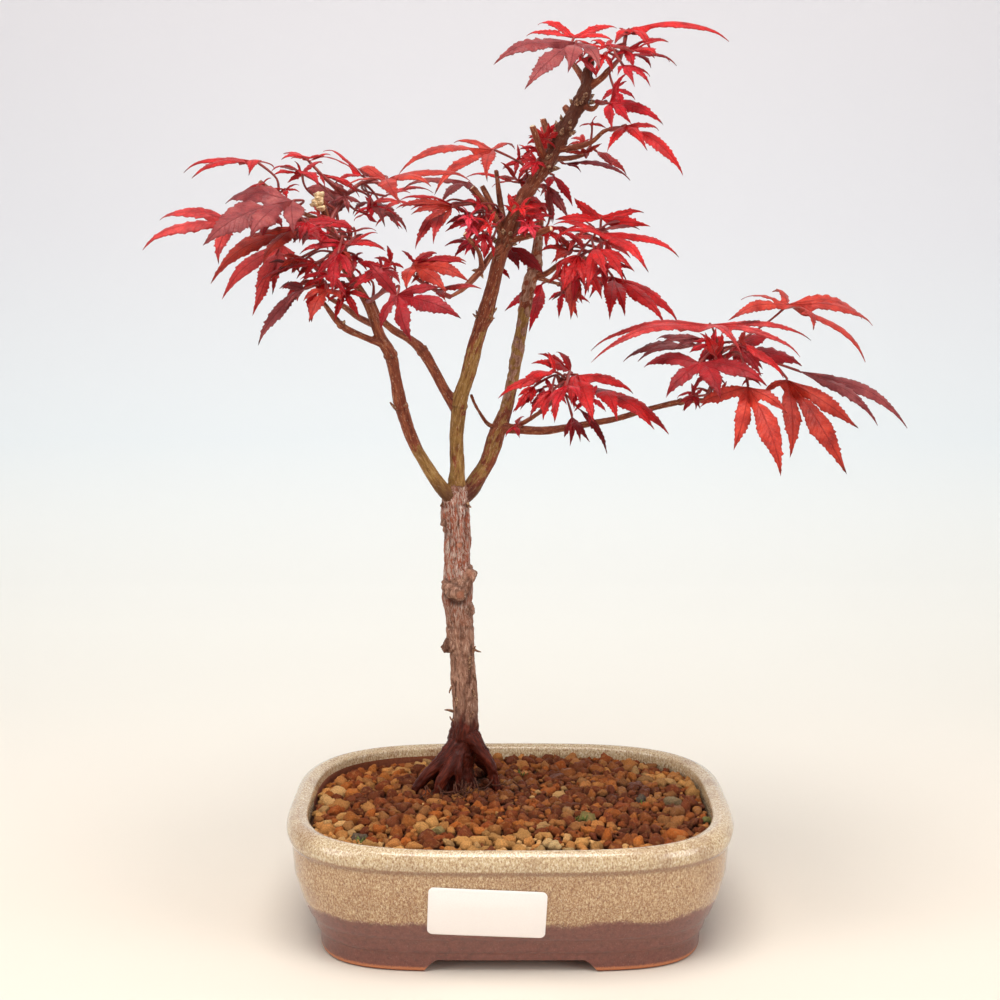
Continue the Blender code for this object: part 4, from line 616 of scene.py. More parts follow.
spray(
    "far_right", [(83, 4, 228), (85, 0, 234), (86, -4, 241), (88, -6, 249)],
    ((115, -8, 269), 15, 1.05, "orange", (144, -26, 247), (151, -6, 261), (150, 8, 263), (121, -34, 260),
     (89, -20, 263), (97, 2, 271), (112, 12, 274)),
    ((82, -14, 261), 10, 0.44, "salmon", (32, -36, 248), (33, -12, 251), (90, -48, 251), (116, -34, 250),
     (124, -14, 255)),
    ((93, -24, 254), 30, 1.0, "scarlet", (109, -36, 241), (94, -34, 259)),
    ((77, -24, 246), 45, 1.5, "wine", (55, -14, 244), (62, -34, 233), (82, -48, 234), (102, -38, 238)),
    ((80, 10, 251), 30, 1.0, "mauve", (49, 20, 244), (54, 2, 245), (64, 26, 253)),
    ((96, 8, 250), 40, 1.8, "wine", (124, 4, 243), (112, 18, 254)),
    ((95, -34, 237), 60, 1.2, "orange", (77, -22, 229), (88, -46, 213), (106, -54, 204), (110, -40, 227)),
    ((115, -10, 238), 60, 1.1, "brick", (106, -4, 231), (114, -30, 208), (135, -36, 202), (142, -24, 219)),
    ((124, 10, 240), 30, 0.8, "mauve", (169, 0, 217), (153, -14, 220)),
    ((77, -2, 232), 50, 1.2, "crimson", (71, 4, 229), (72, -10, 225), (77, -14, 226), (80, -4, 237)),
    ((85, -14, 236), 50, 1.0, "scarlet", (79, -22, 240)),
    ((84, -19, 248), 70, 1.5, "scarlet", (78, -29, 258), (86, -21, 258)),
    ((84, -8, 252), 50, 1.3, "crimson", (79, -14, 245), (87, -16, 243), (91, -10, 253), (79, -6, 257),
     (86, -4, 259)),
    ((94, -10, 252), 45, 1.2, "wine", (88, -14, 245), (99, -14, 249), (98, -6, 258), (103, -18, 240),
     (91, -4, 257)),
    ((81, -16, 241), 55, 1.3, "wine", (75, -20, 236), (83, -22, 234), (88, -20, 237), (76, -12, 245)),
    ((77, -8, 231), 50, 1.3, "wine", (70, -10, 228), (72, -12, 225), (79, -12, 226), (76, -4, 236),
     (81, -6, 234)),
    ((86, -22, 234), 50, 1.0, "orange", (79, -22, 231), (77, -26, 228), (89, -26, 232), (89, -18, 238)),
    ((99, -14, 239), 40, 1.1, "wine", (104, -16, 241), (95, -18, 236), (103, -18, 236)),
    ((85, 0, 253), 50, 1.7, "crimson", (77, -2, 253), (75, -4, 249), (79, -6, 246), (86, -6, 245),
     (91, -2, 249), (90, 4, 255)),
    ((82, 4, 254), 40, 1.4, "mauve", (64, 2, 253), (69, 0, 250), (76, 0, 249)),
    ((96, 0, 249), 50, 1.5, "wine", (104, 0, 247), (106, -4, 242), (99, -6, 241), (93, -6, 243)),
    ((84, 2, 249), 60, 1.5, "wine", (78, -4, 239), (84, -6, 237), (89, -4, 241)),
)


# Meshes

def mesh_object(name, points, faces, looks, smooth=True):
    """A named object from points in millimetres, with its materials."""
    mesh = bpy.data.meshes.new(name)
    mesh.from_pydata([ORIGIN + Vector(p) * MM for p in points], [], faces)
    for look in looks:
        mesh.materials.append(look)
    mesh.polygons.foreach_set("use_smooth", [smooth] * len(faces))
    obj = bpy.data.objects.new(name, mesh)
    bpy.context.scene.collection.objects.link(obj)
    return obj


def declare(obj, slot, *nodes):
    """Puts a finished piece on the body, in place of its solids. The slot is not used."""
    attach(obj, "root")
    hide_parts(*nodes)
    return obj


def paint(obj, name, colours):
    """Writes one colour for each point of a mesh."""
    layer = obj.data.color_attributes.new(name, "FLOAT_COLOR", "POINT")
    layer.data.foreach_set("color", [c for colour in colours for c in (*colour, 1.0)])


def face_out(obj):
    bm = bmesh.new()
    bm.from_mesh(obj.data)
    bmesh.ops.recalc_face_normals(bm, faces=bm.faces)
    bm.to_mesh(obj.data)
    bm.free()


def crease(obj, degrees):
    """Marks the edges that turn more than some degrees as sharp."""
    bm = bmesh.new()
    bm.from_mesh(obj.data)
    for edge in bm.edges:
        edge.smooth = len(edge.link_faces) == 2 and edge.calc_face_angle() < math.radians(degrees)
    bm.to_mesh(obj.data)
    bm.free()


def evaluated(obj):
    """Applies an object's modifiers."""
    bpy.context.view_layer.update()
    graph = bpy.context.evaluated_depsgraph_get()
    mesh = bpy.data.meshes.new_from_object(obj.evaluated_get(graph))
    obj.modifiers.clear()
    obj.data = mesh
    return obj


def cut_away(obj, cutter):
    modifier = obj.modifiers.new("cut", "BOOLEAN")
    modifier.operation = "DIFFERENCE"
    modifier.solver = "EXACT"
    modifier.object = cutter
    evaluated(obj)
    bpy.data.objects.remove(cutter)


def between(stops, share):
    """A value read off a table of (share, value) stops."""
    for (a, low), (b, high) in zip(stops, stops[1:]):
        if share <= b:
            return low + (high - low) * (share - a) / (b - a)
    return stops[-1][1]


def ease(low, high, value):
    """Rises smoothly from 0 at low to 1 at high."""
    share = max(0.0, min(1.0, (value - low) / (high - low)))
    return share * share * (3 - 2 * share)


def smooth_line(line, step):
    """The (x, y, z, radius) points of a line drawn as one smooth curve, about every step along it."""
    ends = [line[0], *line, line[-1]]
    drawn = []
    for a, b, c, d in zip(ends, ends[1:], ends[2:], ends[3:]):
        count = max(1, round((Vector(b[:3]) - Vector(c[:3])).length / step))
        for k in range(count):
            t = k / count
            drawn.append([
                0.5 * (2 * q + (r - p) * t + (2 * p - 5 * q + 4 * r - s) * t * t
                       + (3 * q - p - 3 * r + s) * t ** 3)
                for p, q, r, s in zip(a, b, c, d)
            ])
    drawn.append(list(line[-1]))
    return drawn


def line_frames(line, first=Vector((0.31, -0.9, 0.2))):
    """At each point of a line: its place, the way ahead and a sideways direction that hardly twists."""
    places = [Vector(p[:3]) for p in line]
    across, frames = first, []
    for i, place in enumerate(places):
        ahead = (places[min(i + 1, len(places) - 1)] - places[max(i - 1, 0)]).normalized()
        across = (across - across.dot(ahead) * ahead).normalized()
        frames.append((place, ahead, across))
    return frames


def loft(faces, base, rows, count):
    """Adds the faces between closed rows of count points each, which follow each other from base on."""
    for i in range(rows - 1):
        for k in range(count):
            a, b = base + i * count + k, base + i * count + (k + 1) % count
            faces.append((a, b, b + count, a + count))


def tube(line, sides, points, faces):
    """Adds a closed tapering tube along (x, y, z, radius) points to a list of points and faces."""
    base = len(points)
    for (place, ahead, across), stop in zip(line_frames(line), line):
        other = ahead.cross(across)
        for k in range(sides):
            angle = 2 * math.pi * k / sides
            points.append(place + (across * math.cos(angle) + other * math.sin(angle)) * stop[3])
    loft(faces, base, len(line), sides)
    faces.append(tuple(range(base, base + sides))[::-1])
    last = base + (len(line) - 1) * sides
    faces.append(tuple(range(last, last + sides)))


# Materials

class Look:
    """A material on the standard shader, with short names for the nodes that feed it."""

    def __init__(self, name, **constants):
        self.material = bpy.data.materials.new(name)
        self.material.use_nodes = True
        self.tree = self.material.node_tree
        self.shader = self.tree.nodes["Principled BSDF"]
        for key, value in constants.items():
            self.shader.inputs[key.replace("_", " ")].default_value = value

    def add(self, kind, inputs, output=0, **settings):
        node = self.tree.nodes.new(kind)
        for key, value in settings.items():
            setattr(node, key, value)
        for key, value in inputs.items():
            if isinstance(value, bpy.types.NodeSocket):
                self.tree.links.new(value, node.inputs[key])
            else:
                node.inputs[key].default_value = value
        return node.outputs[output]

    def place(self, stretch=(1, 1, 1)):
        """Object coordinates in millimetres, stretched along some axes."""
        where = self.add("ShaderNodeTexCoord", {}, "Object")
        return self.add("ShaderNodeMapping", {"Vector": where, "Scale": [s / MM for s in stretch]})

    def axes(self, where, *numbers):
        """Some of the three coordinates of a place, by number."""
        return [self.add("ShaderNodeSeparateXYZ", {"Vector": where}, k) for k in numbers]

    def read(self, name, output="Color", stretch=None):
        where = self.add("ShaderNodeAttribute", {}, output, attribute_name=name)
        return self.add("ShaderNodeMapping", {"Vector": where, "Scale": stretch}) if stretch else where

    def parts(self, colour):
        node = self.add("ShaderNodeSeparateColor", {"Color": colour}).node
        return node.outputs[0], node.outputs[1], node.outputs[2]

    def noise(self, where, scale, detail=3.0, rough=0.55):
        sizes = {"Scale": scale, "Detail": detail, "Roughness": rough}
        return self.add("ShaderNodeTexNoise", {"Vector": where, **sizes})

    def cells(self, where, scale, feature="F1"):
        return self.add("ShaderNodeTexVoronoi", {"Vector": where, "Scale": scale}, feature=feature)

    def maths(self, operation, a, b=0.0, c=0.0):
        return self.add("ShaderNodeMath", {0: a, 1: b, 2: c}, operation=operation)

    def plus(self, a, b):
        return self.maths("ADD", a, b)

    def minus(self, a, b):
        return self.maths("SUBTRACT", a, b)

    def times(self, a, b):
        return self.maths("MULTIPLY", a, b)

    def swing(self, value, size):
        """A noise that runs about 0.5, made to run about 0 and this big."""
        return self.times(self.minus(value, 0.5), size)

    def step(self, value, low, high):
        """0 below low and 1 above high, or the other way round where high is below low."""
        rising = low < high
        ends = (low, high, 0.0, 1.0) if rising else (high, low, 1.0, 0.0)
        names = ("From Min", "From Max", "To Min", "To Max")
        return self.add("ShaderNodeMapRange", {"Value": value, **dict(zip(names, ends))},
                        interpolation_type="SMOOTHSTEP")

    def mask(self, value, low, high, most):
        """The step from low to high, made to rise to most."""
        return self.times(self.step(value, low, high), most)

    def ramp(self, value, *stops):
        node = self.add("ShaderNodeValToRGB", {"Fac": value}).node
        while len(node.color_ramp.elements) < len(stops):
            node.color_ramp.elements.new(0.5)
        for element, (where, colour) in zip(node.color_ramp.elements, stops):
            element.position = where
            element.color = (*colour, 1.0)
        return node.outputs[0]

    def mix(self, share, a, b, blend="MIX"):
        colours = {6: a, 7: b}
        colours = {k: v if isinstance(v, bpy.types.NodeSocket) else (*v, 1.0) for k, v in colours.items()}
        return self.add("ShaderNodeMix", {0: share, **colours}, 2, data_type="RGBA", blend_type=blend)

    def tinted(self, colour, tint, share=1.0):
        return self.mix(share, colour, tint, "MULTIPLY")

    def stain(self, colour, value, low, high, most, tint):
        """A colour that turns towards a tint, by up to most, as value goes from low to high."""
        return self.mix(self.mask(value, low, high, most), colour, tint)

    def finish(self, colour, roughness=None, height=None, strength=0.5, depth=0.3):
        self.tree.links.new(colour, self.shader.inputs["Base Color"])
        if roughness is not None:
            self.tree.links.new(roughness, self.shader.inputs["Roughness"])
        if height is not None:
            sizes = {"Strength": strength, "Distance": depth * MM}
            bump = self.add("ShaderNodeBump", {"Height": height, **sizes})
            self.tree.links.new(bump, self.shader.inputs["Normal"])
        return self.material


def plain_look(name, grain, relief, *stops, shine=None, **constants):
    """A material of one noise, which gives its colour, its relief and, with shine, its roughness."""
    look = Look(name, **constants)
    streak = look.noise(look.place(), *grain)
    rough = look.step(streak, *shine) if shine else None
    return look.finish(look.ramp(streak, *stops), rough, streak, *relief)


def glaze_look():
    """Golden-beige glaze, finely mottled with brown, over a purple-brown band, and brown at the crease."""
    look = Look("glaze", Coat_Weight=0.6, Coat_Roughness=0.07)
    where = look.place()
    x, height = look.axes(where, 0, 2)
    clouds = look.noise(where, 0.045, 4, 0.6)
    mottle = look.noise(where, 0.5, 6, 0.72)
    runs = look.noise(look.place((1, 1, 0.55)), 1.5, 4, 0.7)
    grit = look.noise(look.place((1, 1, 0.75)), 2.6, 3, 0.7)
    body = look.ramp(runs, (0.36, (0.25, 0.12, 0.06)), (0.47, (0.41, 0.23, 0.11)),
                     (0.55, (0.52, 0.34, 0.175)), (0.66, (0.72, 0.58, 0.36)))
    lean = look.plus(look.mask(height, 44.0, 22.0, 0.45), look.step(clouds, 0.5, 0.68))
    body = look.mix(look.times(lean, 0.5), body, look.tinted(body, (0.72, 0.6, 0.52)))
    body = look.stain(body, grit, 0.55, 0.63, 0.6, (0.22, 0.095, 0.048))
    body = look.stain(body, grit, 0.42, 0.35, 0.6, (0.84, 0.74, 0.54))
    rim = look.ramp(runs, (0.36, (0.3, 0.17, 0.095)), (0.47, (0.55, 0.395, 0.22)),
                    (0.55, (0.635, 0.51, 0.325)), (0.66, (0.8, 0.72, 0.56)))
    rim = look.stain(rim, clouds, 0.54, 0.68, 0.6, look.tinted(rim, (0.6, 0.48, 0.44)))
    rim = look.stain(rim, grit, 0.56, 0.64, 0.6, (0.24, 0.115, 0.05))
    uneven = look.plus(look.swing(clouds, 10.0), look.swing(runs, 3.5))
    colour = look.mix(look.step(look.plus(height, look.times(uneven, 0.15)), 46.6, 48.4), body, rim)
    crease_line = look.times(look.step(height, 44.4, 46.2), look.step(height, 47.9, 46.8))
    colour = look.mix(look.times(crease_line, 0.6), colour, (0.2, 0.085, 0.04))
    low = look.ramp(mottle, (0.34, (0.098, 0.02, 0.012)), (0.5, (0.152, 0.035, 0.022)),
                    (0.68, (0.195, 0.054, 0.034)))
    low = look.stain(low, runs, 0.56, 0.68, 0.35, (0.2, 0.09, 0.06))
    low = look.stain(low, grit, 0.4, 0.33, 0.45, (0.38, 0.26, 0.2))
    corner = look.maths("POWER", look.maths("ABSOLUTE", look.maths("DIVIDE", x, 92.0)), 4.0)
    band = look.step(look.plus(look.plus(height, uneven), corner), 25.0, 22.4)
    bare = look.step(look.plus(height, look.swing(grit, 2.4)), 2.6, 1.7)
    colour = look.mix(bare, look.mix(band, colour, low), (0.5, 0.165, 0.062))
    rough = look.plus(look.times(mottle, 0.2), look.times(look.maths("MAXIMUM", bare, band), 0.12))
    rough = look.plus(rough, look.plus(0.12, look.times(bare, 0.4)))
    return look.finish(colour, rough, look.plus(mottle, look.times(grit, 0.6)), 0.4, 0.3)


def clay_look():
    """Bare reddish clay under the pot and inside it."""
    return plain_look("bare_clay", (0.8, 6, 0.7), (0.4, 0.4), (0.3, (0.15, 0.036, 0.013)),
                      (0.7, (0.28, 0.08, 0.029)), Roughness=0.85)


def net_look():
    return plain_look("net_plastic", (1.2, 4), (0.3, 0.1), (0.3, (0.015, 0.015, 0.016)),
                      (0.7, (0.05, 0.048, 0.045)), shine=(-0.5, 1.6), Roughness=0.5)


def grain_look():
    """Fired clay grains: each has its own colour, the damp ones are dark and shiny, and painted shade darkens
    their lower sides.
    """
    look = Look("soil_grains", Specular_IOR_Level=0.25)
    where = look.place()
    fine, coarse = look.noise(where, 2.0, 6, 0.8), look.noise(where, 0.7, 3)
    pits = look.cells(where, 1.5)
    damp, shade, _ = look.parts(look.read("grain_state"))
    colour = look.tinted(look.read("grain_colour"), look.ramp(fine, (0.25, (0.32,) * 3), (0.75, (1.6,) * 3)))
    colour = look.stain(colour, coarse, 0.5, 0.75, 0.4, (0.62, 0.3, 0.1))
    colour = look.mix(look.times(damp, 0.5), colour, (0.085, 0.02, 0.007))
    # Painted shade: the lower sides of the grains, and the bed under them, go towards near black
    colour = look.mix(look.times(shade, 0.8), colour, (0.025, 0.008, 0.004))
    rough = look.minus(0.95, look.times(damp, 0.55))
    return look.finish(colour, rough, look.plus(fine, look.mask(pits, 0.0, 0.5, 0.35)), 1.0, 0.7)


def moss_look():
    look = Look("moss", Roughness=0.7)
    colour = look.ramp(look.noise(look.place(), 0.9), (0.3, (0.05, 0.08, 0.012)), (0.7, (0.17, 0.22, 0.035)))
    return look.finish(colour, None, look.noise(look.place(), 4.0), 0.3, 0.1)


def paper_look():
    return plain_look("label_paper", (2.2, 5, 0.6), (0.12, 0.1), (0.3, (0.92, 0.865, 0.835)),
                      (0.7, (0.97, 0.925, 0.895)), shine=(-1.2, 2.2), Roughness=0.42, Sheen_Weight=0.05)


def bark_look():
    """Bark: red-brown twigs, olive stems with red patches, and a pale streaky trunk with a wet foot."""
    look = Look("bark", Specular_IOR_Level=0.2)

    def fibres(across, along, scale=1.0, detail=5, rough=0.7):
        """A noise drawn out along the grain of the wood."""
        return look.noise(look.read("grain", "Vector", (across, across, along)), scale, detail, rough)

    streak, patch, blotch = fibres(0.95, 0.17), fibres(0.36, 0.13), fibres(0.3, 0.2, 1.0, 6, 0.75)
    net, crack = fibres(1.5, 0.36, 0.95, 5, 0.72), fibres(1.9, 0.24, 0.8, 4, 0.65)
    speck = fibres(2.2, 1.5, 1.0, 3)
    dash = look.cells(look.read("grain", "Vector", (0.85, 0.85, 0.4)), 1.0)
    olive, pale, wet = look.parts(look.read("bark_mask"))
    age, ring, cut = look.parts(look.read("bark_form"))
    twig = look.ramp(streak, (0.3, (0.075, 0.014, 0.008)), (0.5, (0.21, 0.048, 0.022)),
                     (0.7, (0.4, 0.13, 0.055)))
    green = look.ramp(streak, (0.3, (0.125, 0.046, 0.014)), (0.5, (0.29, 0.148, 0.042)),
                      (0.7, (0.48, 0.3, 0.105)))
    share = look.step(look.plus(patch, look.minus(olive, 0.5)), 0.46, 0.54)
    lenticel = look.times(look.step(dash, 0.2, 0.1), look.minus(0.5, look.times(share, 0.3)))
    stem = look.stain(look.mix(share, twig, green), net, 0.58, 0.64, 0.6, (0.54, 0.35, 0.22))
    stem = look.mix(lenticel, stem, (0.5, 0.32, 0.2))
    stem = look.stain(stem, speck, 0.6, 0.66, 0.6, (0.075, 0.024, 0.012))
    brick = look.ramp(patch, (0.38, (0.19, 0.05, 0.026)), (0.52, (0.34, 0.09, 0.048)),
                      (0.68, (0.4, 0.165, 0.105)))
    worn = look.ramp(net, (0.36, (0.29, 0.135, 0.086)), (0.52, (0.43, 0.235, 0.16)),
                     (0.68, (0.6, 0.39, 0.285)))
    upper = look.mix(look.step(net, 0.47, 0.55), brick, (0.46, 0.325, 0.265))
    upper = look.stain(upper, streak, 0.57, 0.65, 0.8, (0.82, 0.71, 0.65))
    lower = look.stain(worn, patch, 0.56, 0.42, 0.45, (0.2, 0.08, 0.048))
    lower = look.stain(lower, streak, 0.58, 0.68, 0.65, (0.78, 0.6, 0.48))
    lower = look.stain(lower, speck, 0.59, 0.67, 0.75, (0.08, 0.028, 0.017))
    lower = look.stain(lower, blotch, 0.53, 0.6, 0.6, (0.13, 0.05, 0.03))
    trunk = look.stain(look.mix(pale, lower, upper), crack, 0.43, 0.36, 0.8, (0.07, 0.022, 0.012))
    stem = look.mix(look.times(pale, 0.8), stem, (0.075, 0.022, 0.013))
    colour = look.mix(look.step(age, 0.45, 0.9), stem, trunk)
    soaked = look.ramp(streak, (0.3, (0.016, 0.003, 0.002)), (0.52, (0.08, 0.012, 0.006)),
                       (0.7, (0.18, 0.03, 0.013)))
    colour = look.mix(wet, colour, soaked)
    # The dark channel darkens the bark: painted shade in the trunk's folds, and the dark old rings, knot
    # marks and node lines
    colour = look.mix(look.times(ring, 0.85), colour, (0.042, 0.013, 0.008))
    colour = look.stain(colour, cut, 0.0, 0.4, 0.75, (0.5, 0.2, 0.12))
    face = look.ramp(net, (0.3, (0.66, 0.5, 0.31)), (0.7, (0.9, 0.78, 0.58)))
    colour = look.mix(look.step(cut, 0.55, 0.9), colour, face)
    rough = look.minus(look.plus(0.48, look.times(age, 0.3)), look.times(wet, 0.46))
    height = look.plus(look.times(crack, look.plus(0.25, age)), look.times(streak, 0.6))
    height = look.plus(look.plus(height, look.times(lenticel, 0.35)), look.times(speck, 0.3))
    return look.finish(colour, rough, height, 0.8, 0.4)


def scale_look():
    """Bud scales, flakes and twiglets: dry brown with paler edges."""
    return plain_look("bud_scale", (1.1, 5, 0.7), (0.5, 0.2), (0.32, (0.045, 0.015, 0.009)),
                      (0.5, (0.19, 0.07, 0.032)), (0.64, (0.6, 0.4, 0.24)), Roughness=0.7)


def root_look():
    """Fine roots, dark and matt."""
    return plain_look("fine_root", (1.4, 4, 0.6), (0.4, 0.15), (0.3, (0.03, 0.01, 0.006)),
                      (0.7, (0.13, 0.042, 0.022)), Roughness=0.65, Specular_IOR_Level=0.2)


def callus_look():
    """The knobbly pale wood over an old cut."""
    return plain_look("callus", (0.9, 5, 0.65), (0.5, 0.3), (0.3, (0.42, 0.22, 0.09)),
                      (0.5, (0.78, 0.56, 0.3)), (0.7, (0.9, 0.76, 0.52)), Roughness=0.6)


def shoot_look():
    """Young shoots and leaf stalks: waxy dark red."""
    return plain_look("young_wood", (0.9, 4), (0.3, 0.15), (0.3, (0.13, 0.012, 0.01)),
                      (0.55, (0.26, 0.024, 0.018)), (0.75, (0.36, 0.065, 0.035)), shine=(-0.6, 1.6),
                      Roughness=0.45)


def leaf_look():
    """Red leaf: its own tone, darker veins, a paler underside, a worn margin and a soft gloss."""
    look = Look("red_leaf", Specular_IOR_Level=0.22, Subsurface_Weight=0.12, Subsurface_Scale=0.0006,
                Subsurface_Radius=(1.0, 0.15, 0.1))
    tone = look.read("leaf_tone")
    under, margin, along = look.parts(look.read("leaf_form"))
    u, v = look.axes(look.add("ShaderNodeUVMap", {}, uv_map="vein"), 0, 1)
    u = look.maths("ABSOLUTE", u)
    slant = look.maths("DIVIDE", look.minus(v, look.times(u, 1.15)), 2.6)
    comb = look.maths("ABSOLUTE", look.minus(look.maths("FRACT", slant), 0.5))
    side_vein = look.times(look.step(comb, 0.4, 0.49), look.step(u, 0.1, 0.5))
    mid_vein = look.step(u, 0.36, 0.1)
    where = look.place()
    clouds, fine = look.noise(where, 0.13, 5, 0.65), look.noise(where, 1.1, 4, 0.65)
    web = look.cells(where, 0.95, "DISTANCE_TO_EDGE")
    cloudy = look.ramp(clouds, (0.32, (0.52, 0.36, 0.4)), (0.5, (0.95,) * 3), (0.68, (1.3, 1.7, 1.5)))
    colour = look.tinted(tone, cloudy)
    colour = look.tinted(colour, look.ramp(fine, (0.3, (0.62,) * 3), (0.7, (1.3,) * 3)), 0.6)
    colour = look.mix(look.times(side_vein, 0.25), colour, look.tinted(tone, (0.5, 0.32, 0.32)))
    colour = look.mix(look.times(mid_vein, 0.6), colour, look.tinted(tone, (0.5, 0.25, 0.25)))
    colour = look.stain(colour, margin, 0.8, 1.0, 0.4, look.tinted(tone, (0.45, 0.5, 0.5)))
    pale = look.mix(0.3, look.tinted(tone, (0.9, 1.4, 1.4)), (0.4, 0.12, 0.1))
    colour = look.mix(look.times(under, 0.8), colour, pale)
    dry = look.times(look.step(along, 0.92, 0.98), look.step(clouds, 0.5, 0.56))
    colour = look.mix(look.times(dry, 0.85), colour, (0.05, 0.02, 0.014))
    rough = look.plus(0.26, look.times(fine, 0.25))
    height = look.minus(look.times(fine, 0.7), look.plus(mid_vein, look.times(side_vein, 0.5)))
    return look.finish(colour, rough, look.plus(height, look.mask(web, 0.0, 0.12, 0.25)), 0.7, 0.3)


def stage_look():
    """A pale sweep, warm on the floor, cooler at the back, with painted light along it, glowing at the back.
    """
    look = Look("studio_sweep", Roughness=0.75, Specular_IOR_Level=0.1)
    y, height = look.axes(look.place(), 1, 2)
    climb = look.maths("DIVIDE", look.plus(height, look.times(y, 0.3)), SWEEP_REACH)
    colour = look.ramp(climb, *SWEEP_TINTS_AND_LIGHT)
    # The same tints glow up the back as painted light
    look.tree.links.new(colour, look.shader.inputs["Emission Color"])
    look.tree.links.new(look.mask(y, *SWEEP_GLOW), look.shader.inputs["Emission Strength"])
    return look.finish(colour)


# Pot, nets and label

def squareness(height):
    """How square the pot's outline is at a height, from round-cornered at the rim to squarer at the foot."""
    share = max(0.0, min(1.0, height / RIM_HEIGHT))
    return FOOT_SQUARENESS + (RIM_SQUARENESS - FOOT_SQUARENESS) * share


def oval(inset, height, steps=POT_STEPS):
    """The pot's rounded-oblong outline at a height, drawn in by inset at the sides."""
    half_x, half_y = RIM_HALF_X - inset, RIM_HALF_Y - FRONT_SHARE * inset
    power = 2 / squareness(height)
    points = []
    for k in range(steps):
        c, s = math.cos(2 * math.pi * k / steps), math.sin(2 * math.pi * k / steps)
        x, y = abs(c) ** power * half_x, abs(s) ** power * half_y
        points.append((math.copysign(x, c), math.copysign(y, s)))
    return points


def level(x, y, inset, height):
    """How far out a point is at a height: 1 on the outline that stands in by inset."""
    half_x, half_y = RIM_HALF_X - inset, RIM_HALF_Y - FRONT_SHARE * inset
    power = squareness(height)
    return (abs(x / half_x) ** power + abs(y / half_y) ** power) ** (1 / power)


def rounded(profile, radius):
    """The profile with each corner turned into a short curve."""
    drawn = [profile[0]]
    for a, b, c in zip(profile, profile[1:], profile[2:]):
        a, b, c = Vector(a), Vector(b), Vector(c)
        near = b + (a - b).normalized() * min(radius, 0.45 * (a - b).length)
        far = b + (c - b).normalized() * min(radius, 0.45 * (c - b).length)
        for k in range(4):
            t = k / 3
            drawn.append(tuple(near.lerp(b, t).lerp(b.lerp(far, t), t)))
    return drawn + [profile[-1]]


def window(name, half, axis):
    """A cutter right through under the floor, wider at the bottom, that parts the feet."""
    past, low = RIM_HALF_X + 5, -1.0
    wide = half + WINDOW_FLARE * (RECESS_TOP - low) / RECESS_TOP
    section = [(-wide, low), (wide, low), (half + 1.0, RECESS_TOP - 1.6), (half - 1.5, RECESS_TOP),
               (1.5 - half, RECESS_TOP), (-half - 1.0, RECESS_TOP - 1.6)]
    points = []
    for end in (-past, past):
        points += [(across, end, z) if axis == 0 else (end, across, z) for across, z in section]
    faces = [tuple(range(6)), tuple(range(11, 5, -1))]
    faces += [(k, k + 6, (k + 1) % 6 + 6, (k + 1) % 6) for k in range(6)]
    cutter = mesh_object(name, points, faces, [])
    face_out(cutter)
    return cutter


def build_pot(glaze, clay):
    """The pot: a turned profile on a rounded oblong, cut by the feet's windows and the drain holes."""
    profile = rounded(POT_PROFILE, CORNER_ROUND)
    points, faces = [], []
    for inset, height in profile:
        points += [(x, y, height) for x, y in oval(inset, height)]
    loft(faces, 0, len(profile), POT_STEPS)
    faces.append(tuple(range(POT_STEPS)))
    last = (len(profile) - 1) * POT_STEPS
    faces.append(tuple(range(last, last + POT_STEPS))[::-1])
    pot = mesh_object("pot_glazed", points, faces, [glaze, clay])
    face_out(pot)
    cut_away(pot, window("front_window", FRONT_WINDOW / 2, 0))
    cut_away(pot, window("side_window", SIDE_WINDOW / 2, 1))
    for x in (-DRAIN_OFFSET, DRAIN_OFFSET):
        points, faces = [], []
        ends = (RECESS_TOP - DRAIN_PAST, FLOOR_TOP + DRAIN_PAST)
        tube([(x, 0, z, DRAIN_RADIUS) for z in ends], DRAIN_SIDES, points, faces)
        drain = mesh_object("drain", points, faces, [])
        face_out(drain)
        cut_away(pot, drain)
    for face in pot.data.polygons:
        x, y, z = (face.center - ORIGIN) / MM
        under = z < 0.6 or (face.normal.z < -0.4 and z < RECESS_TOP + 0.5)
        inward = face.normal.x * x / RIM_HALF_X ** 2 + face.normal.y * y / RIM_HALF_Y ** 2 < 0
        floor = face.normal.z > 0.5 and z < FLOOR_TOP + 0.5
        at_back_left = x < -20 and y > 5
        bare_inside = inward and z < (UNGLAZED_BACK if at_back_left else UNGLAZED_INSIDE)
        face.material_index = 1 if under or floor or bare_inside else 0
        face.use_smooth = True
    crease(pot, 38)
    declare(pot, "pot", "pot")


def soil_height(x, y):
    """The smooth level of the soil: domed, and lower at the left back."""
    share = min(1.0, (x / RIM_HALF_X) ** 2 + (y / RIM_HALF_Y) ** 2)
    lean = SOIL_SAG_SHARE * max(0.0, -x / RIM_HALF_X) * max(0.0, y / RIM_HALF_Y)
    return SOIL_EDGE_HEIGHT + SOIL_DOME * (1 - share) - SOIL_SAG * lean


def wall_inset(height):
    """The outer wall's inset at a height, read along the body stretch of the profile."""
    for (inset_a, z_a), (inset_b, z_b) in zip(OUTER_WALL, OUTER_WALL[1:]):
        if z_a <= height <= z_b:
            return inset_a + (inset_b - inset_a) * (height - z_a) / (z_b - z_a)
    return OUTER_WALL[-1][0]


def front_wall(x, height, stand_off):
    """The point of the front wall at x and height, moved out by stand_off."""
    inset = wall_inset(height)
    half_x, half_y = RIM_HALF_X - inset + stand_off, RIM_HALF_Y - FRONT_SHARE * inset + stand_off
    power = squareness(height)
    share = 1 - abs(x / half_x) ** power
    return (x, -half_y * share ** (1 / power), height)


